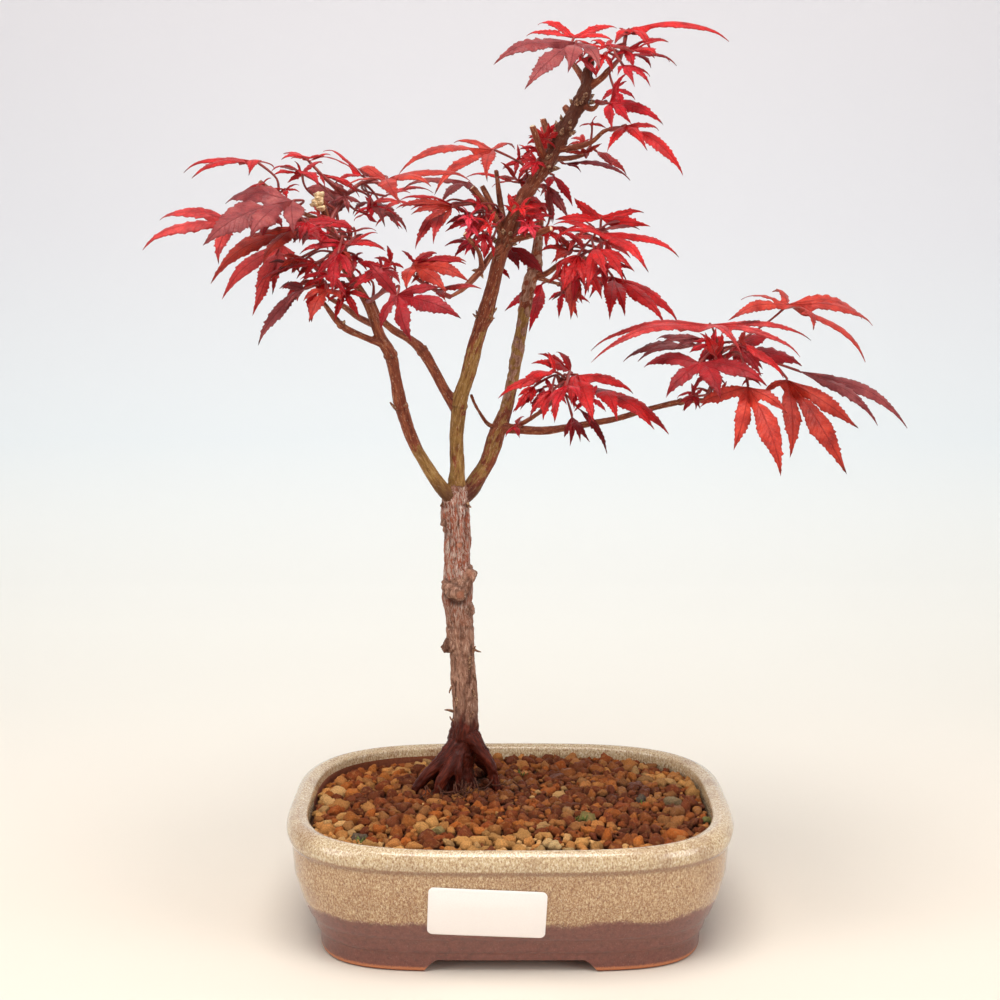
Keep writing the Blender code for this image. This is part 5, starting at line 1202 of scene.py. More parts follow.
def label_outline():
    """The label's rounded outline in its own plane."""
    half_u, half_v = LABEL_SIZE[0] / 2, LABEL_SIZE[1] / 2
    flat_u, flat_v = half_u - LABEL_CORNER, half_v - LABEL_CORNER
    outline = []
    for quarter, (su, sv) in enumerate([(1, 1), (-1, 1), (-1, -1), (1, -1)]):
        for k in range(7):
            angle = math.radians(90 * quarter + 15 * k)
            u = su * flat_u + LABEL_CORNER * math.cos(angle)
            v = sv * flat_v + LABEL_CORNER * math.sin(angle)
            outline.append((u, v))
        if quarter in (0, 2):
            outline += [(su * flat_u * (1 - 2 * t / 12), sv * half_v) for t in range(1, 12)]
        else:
            outline += [(su * half_u, sv * flat_v * (1 - 2 * t / 5)) for t in range(1, 5)]
    return outline


def build_label(look):
    """A blank paper label with rounded corners, bent to the front wall."""
    outline, tilt = label_outline(), math.radians(LABEL_TILT)
    count, shares = len(outline), [0.15, 0.35, 0.55, 0.75, 0.9, 0.985, 1.0]
    points, faces = [], []
    for layer, stand_off in enumerate((LABEL_STAND, LABEL_STAND + LABEL_THICK)):
        base = len(points)
        for share in shares:
            for u, v in outline:
                u, v = u * share, v * share
                x = LABEL_MIDDLE[0] + u * math.cos(tilt) + v * math.sin(tilt)
                z = LABEL_MIDDLE[1] + v * math.cos(tilt) - u * math.sin(tilt)
                curl = LABEL_CURL * layer * (share > 0.99)
                points.append(front_wall(x, z, stand_off - curl))
        loft(faces, base, len(shares), count)
        faces.append(tuple(range(base, base + count)))
    low, high = (len(shares) - 1) * count, (2 * len(shares) - 1) * count
    for k in range(count):
        faces.append((low + k, low + (k + 1) % count, high + (k + 1) % count, high + k))
    label = mesh_object("label_blank", points, faces, [look])
    face_out(label)
    crease(label, 50)
    declare(label, "label", "label")


# Soil

def soil_bed(look):
    """The bed that the grains lie in, dark soil with painted shade for the gaps between them: it fills the
    pot up to just under them.
    """
    shares, steps = [0.1, 0.2, 0.3, 0.4, 0.5, 0.6, 0.7, 0.8, 0.88, 0.94, 1.0], BED_STEPS
    points, faces = [], []
    for share in shares:
        for x, y in oval(SOIL_INSET, 46, steps):
            x, y = x * share, y * share
            bump = noise.noise(Vector((x, y, 0)) * 0.3)
            points.append((x, y, soil_height(x, y) - BED_DEPTH + 0.7 * bump))
    middle = len(points)
    points.append((0, 0, soil_height(0, 0) - BED_DEPTH))
    for inset, height in BED_WALL:
        points += [(x, y, height) for x, y in oval(inset, height, steps)]
    starts = [i * steps for i in range(len(shares))] + [middle + 1 + i * steps for i in range(len(BED_WALL))]
    rings = [list(range(start, start + steps)) for start in starts]
    faces += [(middle, rings[0][k], rings[0][(k + 1) % steps]) for k in range(steps)]
    for low, high in zip(rings, rings[1:]):
        faces += [(low[k], high[k], high[(k + 1) % steps], low[(k + 1) % steps]) for k in range(steps)]
    faces.append(tuple(rings[-1]))
    bed = mesh_object("soil_bed", points, faces, [look])
    face_out(bed)
    # A dark soil colour, with a shade value that is painted shade for the gaps between the grains
    paint(bed, "grain_colour", [(0.11, 0.04, 0.018)] * len(points))
    paint(bed, "grain_state", [(0.3, 0.45, 0.5)] * len(points))
    declare(bed, "soil", "soil")


def pebble_shapes(detail, count, draw):
    """A few rough pebble shapes: a ball pressed flat in places, as points and faces."""
    bm = bmesh.new()
    bmesh.ops.create_icosphere(bm, subdivisions=detail, radius=1.0)
    ball = [point.co.copy() for point in bm.verts]
    faces = [tuple(point.index for point in face.verts) for face in bm.faces]
    bm.free()
    shapes = []
    for _ in range(count):
        shift = Vector([draw.uniform(-50, 50) for _ in range(3)])
        flats = [Vector([draw.gauss(0, 1) for _ in range(3)]).normalized() for _ in range(3)]
        squeeze = Vector((1.08, draw.uniform(0.78, 1.0), draw.uniform(0.66, 0.92)))
        shape = []
        for point in ball:
            rough = 0.42 * noise.noise(point * 1.3 + shift) + 0.27 * noise.noise(point * 3.0 + shift)
            place = point * (1.04 + rough + 0.16 * noise.noise(point * 6.0 + shift))
            for flat in flats:
                over = place.dot(flat) - 0.74
                if over > 0:
                    place = place - flat * (over * 0.85)
            shape.append(Vector([a * b for a, b in zip(place, squeeze)]))
        shapes.append(shape)
    return shapes, faces


def near_wood(x, y, lines):
    """How far a spot on the soil is from the nearest wood, in millimetres."""
    return min((math.hypot(x - p[0], y - p[1]) - p[3] for line in lines for p in line), default=99)


def scatter_grains(draw):
    """Places for grains, big ones first, so that smaller ones fill what is left: (x, y, radius)."""
    lines = [[p for p in smooth_line(root, 2.0) if p[2] > 44] for root in ROOTS] + [[TRUNK_FOOT]]
    placed, cells = [(x, y, r) for x, y, r, _ in PEBBLES], {}

    def cell(x, y):
        return int(x // GRID_CELL), int(y // GRID_CELL)

    for spot in placed:
        cells.setdefault(cell(*spot[:2]), []).append(spot)
    for least, most, tries in GRAIN_SIZES:
        for _ in range(tries):
            x, y, radius = draw.uniform(-87, 87), draw.uniform(-65, 65), draw.uniform(least, most)
            if level(x, y, SOIL_INSET + radius * 0.85, 48) > 1 or near_wood(x, y, lines) < radius * 0.4:
                continue
            i, j = cell(x, y)
            around = [s for a in (-1, 0, 1) for b in (-1, 0, 1) for s in cells.get((i + a, j + b), ())]
            if all(math.hypot(x - a, y - b) > GRAIN_SPACING * (radius + r) for a, b, r in around):
                placed.append((x, y, radius))
                cells.setdefault((i, j), []).append(placed[-1])
    return placed


def grain_state(x, y, draw):
    """How damp a grain is: wet round the trunk and on the right, dry at the front and left."""
    near = max(0.0, 1 - math.hypot(x + 20, (y - 14) * 1.2) / 60)
    damp = 0.05 + 0.45 * near + 0.45 * ease(-20, 50, x) * ease(-70, -20, y) + draw.uniform(-0.3, 0.3)
    damp += max(0.0, *(1.2 - math.hypot(x - a, y - b) / reach for a, b, reach in WET_SPOTS))
    return max(0.0, min(1.0, damp))


def build_grains(look):
    """The grains in three pieces by size, each one a rough pebble with its own colour, dampness and painted
    shade on its lower side.
    """
    draw = random.Random(SEEDS["soil"])
    small, small_faces = pebble_shapes(2, 14, draw)
    large, large_faces = pebble_shapes(3, 16, draw)
    odd = {(x, y): colour for x, y, _, colour in PEBBLES}
    batches = {"soil_grains_large": [], "soil_grains_medium": [], "soil_grains_small": []}
    for x, y, radius in scatter_grains(draw):
        size = "large" if radius > LARGE_GRAIN else "medium" if radius > MEDIUM_GRAIN else "small"
        batches["soil_grains_" + size].append((x, y, radius))
    for name, spots in batches.items():
        shapes, pattern = (small, small_faces) if name.endswith("small") else (large, large_faces)
        points, faces, colours, states = [], [], [], []
        for x, y, radius in spots:
            pole = Vector([draw.gauss(0, 1) for _ in range(3)]).normalized()
            turn = Vector((0, 0, 1)).rotation_difference(pole)
            level_here = soil_height(x, y) + radius * draw.uniform(-0.2, 0.25)
            centre = Vector((x, y, min(level_here, GRAIN_TOP - radius)))
            base, shape = len(points), draw.choice(shapes)
            dry = max(1.3 - math.hypot(x - a, y - b) / reach for a, b, reach in DRY_SPOTS)
            palette = TAN_GRAINS if draw.random() < max(0.04, dry) else GRAIN_COLOURS
            colour = odd.get((x, y)) or draw.choice(palette)
            light = draw.uniform(0.6, 1.15)
            damp = 0.15
            if (x, y) not in odd:
                damp = grain_state(x, y, draw) * (1 - 0.8 * max(0, min(1, dry)))
            for point in shape:
                turned = turn @ point
                points.append(centre + turned * radius)
                colours.append([c * light for c in colour])
                # The second value is painted shade: the further a point faces down, the darker it is painted
                states.append((damp, max(0.0, min(1.0, 0.5 - turned.z)), draw.random()))
            faces += [tuple(base + k for k in face) for face in pattern]
        grains = mesh_object(name, points, faces, [look])
        paint(grains, "grain_colour", colours)
        paint(grains, "grain_state", states)
        declare(grains, "soil", "soil")


def build_moss(look):
    """Small tufts of pointed blades between the grains."""
    draw, points, faces = random.Random(SEEDS["moss"]), [], []
    for x, y, count in MOSS:
        for _ in range(count):
            a, b = x + draw.gauss(0, 1.3), y + draw.gauss(0, 1.3)
            low = soil_height(a, b) + 1.0
            lean, tall = Vector((draw.uniform(-0.6, 0.6), draw.uniform(-0.6, 0.6), 1)), draw.uniform(1.4, 2.6)
            root = Vector((a, b, low))
            line = [(*root, 0.35), (*(root + lean * tall * 0.5), 0.3), (*(root + lean * tall * 0.8), 0.18),
                    (*(root + lean * tall), 0.03)]
            tube(line, 5, points, faces)
    declare(mesh_object("moss", points, faces, [look]), "soil", "soil")


def build_fine_roots(look):
    """Thin dark roots that run from the foot of the trunk over the soil."""
    draw, points, faces = random.Random(SEEDS["fine_roots"]), [], []
    for _ in range(FINE_ROOTS):
        x, y = draw.choice(ROOT_TIPS)
        x, y = x + draw.gauss(0, 3.0), y + draw.gauss(0, 2.5)
        angle, line = math.radians(draw.uniform(-150, -30)), []
        steps = draw.randint(4, 7)
        for k in range(steps):
            lift = draw.uniform(0.5, 2.6) + 3.5 * max(0, 1 - k / 1.5)
            line.append((x, y, soil_height(x, y) + lift, FINE_ROOT_RADIUS * (1 - 0.75 * k / steps)))
            angle += draw.uniform(-0.9, 0.9)
            x, y = x + FINE_ROOT_STRIDE * math.cos(angle), y + FINE_ROOT_STRIDE * math.sin(angle)
        tube(smooth_line(line, 0.8), 6, points, faces)
    declare(mesh_object("fine_roots", points, faces, [look]), "tree", "tree")


# Tree

def wood_lines():
    """Every stretch of wood with its kind."""
    lines = [("trunk", TRUNK)] + [("root", root) for root in ROOTS] + [("knot", knot) for knot in SWELLINGS]
    for name, line in BRANCHES.items():
        lines.append((name if name in ("leader", "right_stem", "left_stem") else "twig", line))
    return lines + [("stub", stub) for stub in STUBS] + [("root", FLARE)]


def node_rings(line):
    """How far along a line its node rings are, where it is thicker than on both sides."""
    places, along = [], 0.0
    for k in range(1, len(line)):
        along += (Vector(line[k][:3]) - Vector(line[k - 1][:3])).length
        if k < len(line) - 1 and line[k][3] > line[k - 1][3] + 0.04 and line[k][3] > line[k + 1][3] + 0.04:
            places.append(along)
    return places


def wood_samples(kind, line, start):
    """Points about 1 mm apart along a stretch of wood, with what its bark is like there."""
    drawn = smooth_line(line, 1.0)
    rings = node_rings(line) if kind in LIVE_WOOD else []
    samples, along, before = [], 0.0, None
    for (place, ahead, across), stop in zip(line_frames(drawn), drawn):
        along += (place - before).length if before else 0.0
        before = place
        ring = min((along - at for at in rings), key=abs, default=99.0)
        last = len(samples) == len(drawn) - 1
        samples.append(Sample(place, ahead, across, start + along, stop[3], ring, kind, last))
    return samples


def crosswise(line):
    """The tube's outline for one stretch of wood, fine enough to be voxelled."""
    return max(10, int(4 * max(stop[3] for stop in line)))


def front_gap(place, x, z):
    """How far a place on the front of the trunk is from a spot there, as it looks from the front."""
    return math.hypot(place.x - x, place.z - z) + 2 * max(0.0, place.y - TRUNK_FRONT)


def knot_push(place):
    """How far a scar pushes the bark out or in at a place, and how bare the wood is there."""
    push = bare = 0.0
    for x, z, reach, lip, hollow, face in KNOTS:
        far = front_gap(place, x, z) / reach
        if far < 2:
            push += lip * math.exp(-((far - 0.95) / 0.3) ** 2) - hollow * math.exp(-(far / 0.5) ** 2)
            bare = max(bare, face * (1 - ease(0.35, 0.8, far)))
    return push, bare


def fold_here(place):
    """How close a place is to a fold in the bark, from 0 to 1, which sets its painted shade."""
    most, shaken = 0.0, place + 0.5 * noise.noise_vector(place * 0.7)
    for depth, wide, line in FOLDS:
        for (ax, az), (bx, bz) in zip(line, line[1:]):
            if abs(place.z - az) > 9:
                continue
            run = (bx - ax) ** 2 + (bz - az) ** 2
            share = max(0.0, min(1.0, ((shaken.x - ax) * (bx - ax) + (shaken.z - az) * (bz - az)) / run))
            gap = front_gap(shaken, ax + share * (bx - ax), az + share * (bz - az))
            most = max(most, depth * math.exp(-(gap / wide) ** 2))
    return most


def trunk_ring(place):
    """How close a place on the trunk is to one of its old rings, from 0 to 1."""
    wander = 0.9 * noise.noise(place * 0.22) + 0.5 * noise.noise(place * 0.9)
    broken = 0.65 + 0.6 * noise.noise(place * 0.5 + Vector((7, 0, 0)))
    near = [depth * math.exp(-((place.z - height + wander) / 0.7) ** 2) for height, depth in TRUNK_RINGS]
    return broken * max(near)


def olive_share(kind, place):
    """How green the bark of a stem or twig is, from 0 for red-brown to 1."""
    if kind == "left_stem":
        return 0.72 - 0.62 * ease(200, 220, place.z)
    if kind == "leader":
        return 0.6 - 0.25 * ease(225, 280, place.z) - 0.2 * ease(285, 310, place.z)
    if kind == "right_stem":
        left_edge = ease(2.0, -2.5, place.x - 0.33 * (place.z - 222))
        return 0.38 + 0.2 * ease(215, 245, place.z) + 0.1 * left_edge - 0.5 * ease(262, 272, place.z)
    return 0.2 if kind == "stub" else 0.1


def bark_push(grain, age, ring, wet):
    """How far the bark stands out at a place, from its place along and across the grain."""
    lumps = noise.fractal(Vector((grain.x * 0.2, grain.y * 0.2, grain.z * 0.09)), 1.0, 2.0, 3)
    plates = noise.noise(Vector((grain.x * 0.75, grain.y * 0.75, grain.z * 0.16 + 9)))
    fine = noise.noise(Vector((grain.x * 1.7, grain.y * 1.7, grain.z * 0.5 + 4)))
    cracks = max(0.0, 0.16 - abs(plates)) / 0.16
    push = lumps * (0.2 + 0.6 * age) - 0.2 * cracks * age + fine * (0.06 + 0.15 * age)
    swell = 0.34 * math.exp(-(ring / 1.1) ** 2) - 0.2 * math.exp(-((abs(ring) - 1.5) / 0.45) ** 2)
    return push + swell * (1 - 0.5 * age) + 0.2 * wet * fine


def bark_at(place, samples, tree):
    """What the wood is like at a point of its skin: grain coordinates, push, masks and form."""
    near = [samples[index] for _, index, _ in tree.find_n(place, 12)]
    best = min(near, key=lambda s: (place - s.place).length - s.radius)
    off = place - best.place
    forward = off.dot(best.ahead)
    grain = Vector((off.dot(best.across), off.dot(best.ahead.cross(best.across)), best.along + forward))
    if best.kind == "knot":
        grain = Vector((place.x, place.y, place.z + 3 * noise.noise(place * 0.3)))
    ring = best.ring + forward
    old = best.kind in ("trunk", "root", "knot")
    under_fork = 1 - ease(*FORK, place.z + 2 * noise.noise(place * 0.5))
    age = 1.0 if old else max(ease(1.6, 6.5, best.radius), under_fork)
    wet = 1 - ease(*WET_FOOT, place.z + 5 * noise.noise(place * 0.3) + 2 * noise.noise(place * 1.1))
    pale = ease(*PALE_FROM, place.z) * (1 - ease(*PALE_TO, place.z)) * (0 if best.kind == "knot" else 1)
    push, bare = knot_push(place)
    dark = 0.6 * math.exp(-((ring + 0.55) / 0.3) ** 2) if abs(ring) < 4 else 0.0
    if best.kind == "leader":
        pale = 0.25 * ease(285, 300, place.z) + 0.7 * ease(322, 345, place.z)
        push += ease(300, 325, place.z) * (0.9 * noise.noise(place * 0.3) + 0.5 * noise.noise(place * 0.8))
    if best.kind == "right_stem":
        left_edge = ease(1.5, -1.5, place.x + 1 - 0.33 * (place.z - 224)) * ease(212, 226, place.z)
        age = max(age, 1.1 * left_edge * ease(-0.25, 0.1, noise.noise(place * 0.35)))
    # Old wood: its folds and old rings are pressed in and darkened, and the dark in the folds is painted
    # shade
    if old:
        dark = max(trunk_ring(place), fold_here(place))
        push -= 0.75 * dark
    if best.kind == "knot":
        push += 0.6 * noise.noise(place * 0.55) + 0.3 * noise.noise(place * 1.3)
        dark = max(dark, 0.45 * ease(0.05, 0.4, noise.noise(place * 0.6 + Vector((0, 5, 0)))))
        dark = max(dark, 0.6 * (place.x < -27 and place.z < 125))
    push += bark_push(grain, age, ring, wet)
    cut = bare
    if best.kind == "stub" and best.last and forward > -0.75:
        cut = ease(-0.75, -0.2, forward)
    return grain, push, (olive_share(best.kind, place), pale, wet), (age, dark, cut)


def build_tree(look):
    """The wood as one skin: tubes fused by voxels, smoothed, then pushed out and in as bark."""
    points, faces, samples = [], [], []
    for index, (kind, line) in enumerate(wood_lines()):
        tube(smooth_line(line, 1.2), crosswise(line), points, faces)
        samples += wood_samples(kind, line, GRAIN_SHIFT * index)
    wood = mesh_object("bark_wood", points, faces, [look])
    remesh = wood.modifiers.new("fuse", "REMESH")
    remesh.mode = "VOXEL"
    remesh.voxel_size = VOXEL * MM
    remesh.adaptivity = 0.0
    smooth = wood.modifiers.new("smooth", "SMOOTH")
    smooth.factor, smooth.iterations = 0.5, 3
    evaluated(wood)
    near = kdtree.KDTree(len(samples))
    for index, sample in enumerate(samples):
        near.insert(sample.place, index)
    near.balance()
    # Unseeded, the vector noise of fold_here would follow the clock
    noise.seed_set(SEEDS["folds"])
    grains, masks, forms = [], [], []
    mesh = wood.data
    normals = [normal.vector.copy() for normal in mesh.vertex_normals]
    for point, normal in zip(mesh.vertices, normals):
        place = (point.co - ORIGIN) / MM
        grain, push, mask, form = bark_at(place, samples, near)
        point.co += normal * push * MM
        grains += list(grain)
        masks.append(mask)
        forms.append(form)
    mesh.attributes.new("grain", "FLOAT_VECTOR", "POINT").data.foreach_set("vector", grains)
    paint(wood, "bark_mask", masks)
    paint(wood, "bark_form", forms)
    mesh.materials.clear()
    mesh.materials.append(look)
    mesh.polygons.foreach_set("use_smooth", [True] * len(mesh.polygons))
    mesh.update()
    declare(wood, "tree", "tree")


def build_buds(look):
    """Pairs of pointed bud scales at the node rings."""
    draw, points, faces = random.Random(SEEDS["buds"]), [], []
    for index, (kind, line) in enumerate(wood_lines()):
        if kind not in LIVE_WOOD:
            continue
        samples = wood_samples(kind, line, 0.0)
        for at in node_rings(line):
            node = min(samples, key=lambda s: abs(s.along - at))
            turn = draw.uniform(0, math.pi)
            other = node.ahead.cross(node.across)
            side = node.across * math.cos(turn) + other * math.sin(turn)
            crowded = node.radius >= 3.3 and node.place.z > 280
            for sign in (-1, 1) * (9 if crowded else 1):
                if draw.random() < 0.2:
                    continue
                size = draw.uniform(0.7, 1.25) * 0.8
                lift = Vector()
                if crowded:
                    turn, size = draw.uniform(0, math.pi), draw.uniform(0.7, 1.5)
                    side = node.across * math.cos(turn) + other * math.sin(turn)
                    lift = node.ahead * draw.uniform(-3.5, 3.5)
                foot = node.place + lift + side * sign * (node.radius * (0.95 if crowded else 0.8))
                out = (side * sign * 0.75 + node.ahead * draw.uniform(0.3, 1.0)).normalized() * size
                tube([(*(foot + out * t), r * size) for t, r in BUD_SHAPE], 8, points, faces)
    declare(mesh_object("bud_scales", points, faces, [look]), "tree", "tree")


def build_scraps(look):
    """Twiglets, scale tips and lifted flakes on the trunk."""
    draw, points, faces = random.Random(SEEDS["scraps"]), [], []
    for start, end, radius in SCRAPS:
        start, end = Vector(start), Vector(end)
        bend = Vector([draw.uniform(-0.4, 0.4) for _ in range(3)])
        line = [(*(start.lerp(end, t) + bend * math.sin(math.pi * t)), radius * r) for t, r in SCRAP_SHAPE]
        tube(smooth_line(line, 0.7), 7, points, faces)
    declare(mesh_object("bark_scraps", points, faces, [look]), "tree", "tree")


def build_callus(look):
    """Pale knobs crowded on the cut end of the left stem."""
    draw, points, faces = random.Random(SEEDS["callus"]), [], []
    shapes, pattern = pebble_shapes(3, 5, draw)
    for k in range(CALLUS_KNOBS):
        radius = draw.uniform(0.9, 1.7) if k else 2.0
        shift = Vector((draw.gauss(0, 1.7), draw.gauss(-0.4, 0.9), draw.gauss(0, 1.7)))
        centre = Vector(CALLUS) + shift * (k > 0)
        base, shape = len(points), draw.choice(shapes)
        points += [centre + point * radius for point in shape]
        faces += [tuple(base + c for c in face) for face in pattern]
    declare(mesh_object("stem_callus", points, faces, [look]), "tree", "tree")


# Leaves

def leaf_frame(leaf):
    """The leaf's main direction, its sideways direction and its upper face's normal.

    The main direction is opposite the widest gap between the lobes, where the stalk joins the blade.
    """
    foot = Vector(leaf.foot)
    lobes = [Vector(tip) - foot for tip in leaf.tips]
    mean = sum(lobes, Vector()).normalized()
    lean = math.radians(leaf.face)
    hint = Vector((0, -math.sin(lean), math.cos(lean)))
    normal = (hint - hint.dot(mean) * mean).normalized()
    across = normal.cross(mean)
    angles = sorted(math.atan2(lobe.dot(across), lobe.dot(mean)) for lobe in lobes)
    angles.append(angles[0] + 2 * math.pi)
    gap, start = max((after - before, before) for before, after in zip(angles, angles[1:]))
    turn = start + gap / 2 - math.pi
    along = mean * math.cos(turn) + across * math.sin(turn)
    return along, normal.cross(along), normal


def nearest_on_line(line, place):
    """The point of a poly-line nearest to a place, kept off its two ends."""
    best = None
    for a, b in zip(line, line[1:]):
        a, b = Vector(a), Vector(b)
        share = max(0.1, min(0.95, (place - a).dot(b - a) / (b - a).length_squared))
        point = a + (b - a) * share
        if best is None or (point - place).length < (best - place).length:
            best = point
    return best


def lobe_vectors(leaf, seed):
    """Every lobe as a vector from the leaf's foot to its tip, in order round the leaf."""
    along, sideways, normal = leaf_frame(leaf)
    foot = Vector(leaf.foot)
    lobes = [Vector(tip) - foot for tip in leaf.tips]
    if len(lobes) == 1:
        draw = random.Random(seed)
        reach = lobes[0].length
        lobes = []
        for degrees, share in SPREAD:
            turn, stretch = (draw.uniform(-5, 5), draw.uniform(0.88, 1.1)) if degrees else (0, 1)
            angle, length = math.radians(degrees + turn), reach * share * stretch
            droop = SIDE_DROOP * (1 - math.cos(angle)) / 2
            lobes.append((along * math.cos(angle) + sideways * math.sin(angle) - normal * droop) * length)
    return sorted(lobes, key=lambda lobe: math.atan2(lobe.dot(sideways), lobe.dot(along)))


def sinus(leaf, lobe, other):
    """The inner corner of the blade between two neighbouring lobes."""
    along, sideways, normal = leaf_frame(leaf)
    angles = [math.atan2(each.dot(sideways), each.dot(along)) for each in (lobe, other)]
    middle = sum(angles) / 2
    outward = along * math.cos(middle) + sideways * math.sin(middle)
    between = (lobe + other) * ((SINUS_REACH + 0.12 * max(0.0, leaf.width - 1)) / 2)
    short = max(0.0, LEAST_SINUS - between.dot(outward))
    return Vector(leaf.foot) + between + outward * short


def lobe_up(lobe, normal):
    """The upper side of one lobe: the leaf's normal, squared up to the lobe's own direction."""
    return (normal - normal.dot(lobe) / lobe.length_squared * lobe).normalized()


class Blade:
    """The upper face of one leaf as it is drawn, lobe by lobe."""

    def __init__(self, leaf, seed):
        self.leaf, self.draw = leaf, random.Random(seed + 7)
        self.foot = Vector(leaf.foot)
        self.along, self.sideways, self.normal = leaf_frame(leaf)
        self.points, self.ups, self.forms = [self.foot], [self.normal], [(0, 0, 0)]
        self.faces, self.veins = [], []
        lobes = lobe_vectors(leaf, seed)
        corners = [sinus(leaf, a, b) for a, b in zip(lobes, lobes[1:])]
        seams = [self.seam(corner) for corner in corners]
        for k, lobe in enumerate(lobes):
            sides = []
            for sign, other in ((-1, k - 1), (1, k + 1)):
                joined = 0 <= other < len(lobes)
                at = min(k, other)
                sides.append((sign, corners[at] if joined else None, seams[at] if joined else None,
                              lobe.angle(lobes[other]) if joined else None))
            self.draw_lobe(lobe, sides)

    def add(self, place, up, form):
        self.points.append(place)
        self.ups.append(up)
        self.forms.append(form)
        return len(self.points) - 1

    def seam(self, corner):
        """Points shared by two lobes, from near the foot out to the inner corner between them."""
        return [self.add(self.foot.lerp(corner, (i + 1) / SINUS_ROWS), self.normal, (0, 0.2, 0.1))
                for i in range(SINUS_ROWS)]

    def draw_lobe(self, lobe, sides):
        length, up = lobe.length, lobe_up(lobe, self.normal)
        across = up.cross(lobe).normalized()
        draw = self.draw
        sway, hook = draw.uniform(-0.035, 0.035) * length, draw.uniform(-0.02, 0.02) * length
        wave, phase = draw.uniform(0.006, 0.016) * length, draw.uniform(0, 6.28)
        keel, ruffle, turn = draw.uniform(0.05, 0.32), draw.uniform(0.03, 0.1), draw.uniform(0, 6.28)
        width = LOBE_HALF_WIDTH * self.leaf.width * length
        reaches = [(corner - self.foot).dot(lobe) / length ** 2 for _, corner, _, _ in sides if corner]
        first = max(0.05, min(0.34, sum(reaches) / len(reaches)))

        def centre(s):
            arch = 2.6 * ARCH * length * s * (1 - s * s)
            ripple = wave * math.sin(7.5 * s + phase) * 4 * s * (1 - s)
            droop = TIP_DROOP * length * max(0.0, (s - 0.82) / 0.18) ** 2
            bend = sway * math.sin(math.pi * s) + hook * max(0.0, (s - 0.85) / 0.15) ** 2
            return self.foot + lobe * s + up * (arch + ripple - droop) + across * bend

        free = max(7, min(64, round((1 - first) * length / ROW_STEP)))
        shares = [first * (i + 1) / SINUS_ROWS for i in range(SINUS_ROWS)]
        shares += [first + (1 - first) * (i + 1) / free for i in range(free - 1)]
        rows = []
        for i, s in enumerate(shares):
            middle, full = centre(s), width * between(LOBE_OUTLINE, s)
            t = (s - first) / (1 - first)
            row = [None] * len(COLUMNS)
            for sign, corner, seam, spread in sides:
                room = 0.8 * s * length * math.tan(min(spread, 2.0) / 2) if spread else full
                half = min(full, room) if i >= SINUS_ROWS else full * (i + 1.2) / (SINUS_ROWS + 0.2)
                offset = across * sign * half
                if corner and i < SINUS_ROWS:
                    offset = self.points[seam[i]] - middle
                elif corner:
                    blend = max(0.0, 1 - t / 0.13) ** 2
                    offset = offset * (1 - blend) + (corner - centre(first)) * blend
                tooth = Vector()
                if i >= SINUS_ROWS and not (corner and t < 0.05):
                    size = TOOTH * min(1.0, half / 1.6) * min(1.0, t / 0.08 if corner else 1.0)
                    size *= draw.uniform(0.3, 1.5) * TEETH[i % 4] * (draw.random() > 0.28)
                    tooth = across * sign * size + lobe.normalized() * (0.45 * size)
                for j in range(1, MID_COLUMN + 1):
                    q, edge = COLUMNS[MID_COLUMN + j], j == MID_COLUMN
                    lift = half * q * q * (ruffle * math.sin(1.3 * s * length + turn * sign) - keel)
                    spot = middle + offset * q + up * (lift if i >= SINUS_ROWS else lift * i / SINUS_ROWS)
                    column = MID_COLUMN + sign * j
                    if edge and corner and i < SINUS_ROWS:
                        row[column] = seam[i]
                    else:
                        margin = q if i >= SINUS_ROWS else 0.3
                        row[column] = self.add(spot + (tooth if edge else Vector()), up, (0, margin, s))
            row[MID_COLUMN] = self.add(middle, up, (0, 0, s))
            rows.append((row, s * length, [q * full for q in COLUMNS]))
        tip = self.foot + lobe + across * hook - up * TIP_DROOP * length
        self.join(rows, self.add(tip, up, (0, 1, 1)), length)

    def join(self, rows, tip, length):
        """Faces between a lobe's rows, from the foot to the tip, with where each corner is by the veins."""
        row, v, us = rows[0]
        for k in range(len(COLUMNS) - 1):
            self.add_face((0, row[k + 1], row[k]), ((0, 0), (us[k + 1], v), (us[k], v)))
        for (low, v0, u0), (high, v1, u1) in zip(rows, rows[1:]):
            for k in range(len(COLUMNS) - 1):
                self.add_face((low[k], low[k + 1], high[k + 1], high[k]),
                              ((u0[k], v0), (u0[k + 1], v0), (u1[k + 1], v1), (u1[k], v1)))
        row, v, us = rows[-1]
        for k in range(len(COLUMNS) - 1):
            self.add_face((row[k], row[k + 1], tip), ((us[k], v), (us[k + 1], v), (0, length)))

    def add_face(self, corners, veins):
        self.faces.append(corners)
        self.veins.append(veins)


def blade_solid(blade):
    """The blade closed into a thin solid: points, faces, vein places and forms."""
    count, points = len(blade.points), list(blade.points)
    points += [point - up * BLADE_THICK for point, up in zip(blade.points, blade.ups)]
    faces = list(blade.faces) + [tuple(k + count for k in reversed(face)) for face in blade.faces]
    veins = list(blade.veins) + [tuple(reversed(vein)) for vein in blade.veins]
    used = {}
    for face, vein in zip(blade.faces, blade.veins):
        for a, b, va, vb in zip(face, face[1:] + face[:1], vein, vein[1:] + vein[:1]):
            used[(a, b)] = (va, vb)
    for (a, b), (va, vb) in used.items():
        if (b, a) not in used:
            faces.append((b, a, a + count, b + count))
            veins.append((vb, va, va, vb))
    forms = blade.forms + [(1, form[1], form[2]) for form in blade.forms]
    return points, faces, veins, forms


def stalk_line(blade, shoot):
    """The leaf stalk's centre line, from inside the blade's foot to inside the shoot."""
    base = blade.foot - blade.along * 0.5 - blade.normal * 0.2
    start = nearest_on_line(shoot, base)
    span = (start - base).length
    middle = base.lerp(start, 0.45) - blade.along * (0.28 * span)
    near = blade.foot + blade.along * 1.2 - blade.normal * 0.25
    thick = PETIOLE_RADIUS
    line = [(*near, thick * 0.5), (*base, thick * 1.25), (*middle, thick), (*start, thick * 1.7)]
    return smooth_line(line, 1.6)


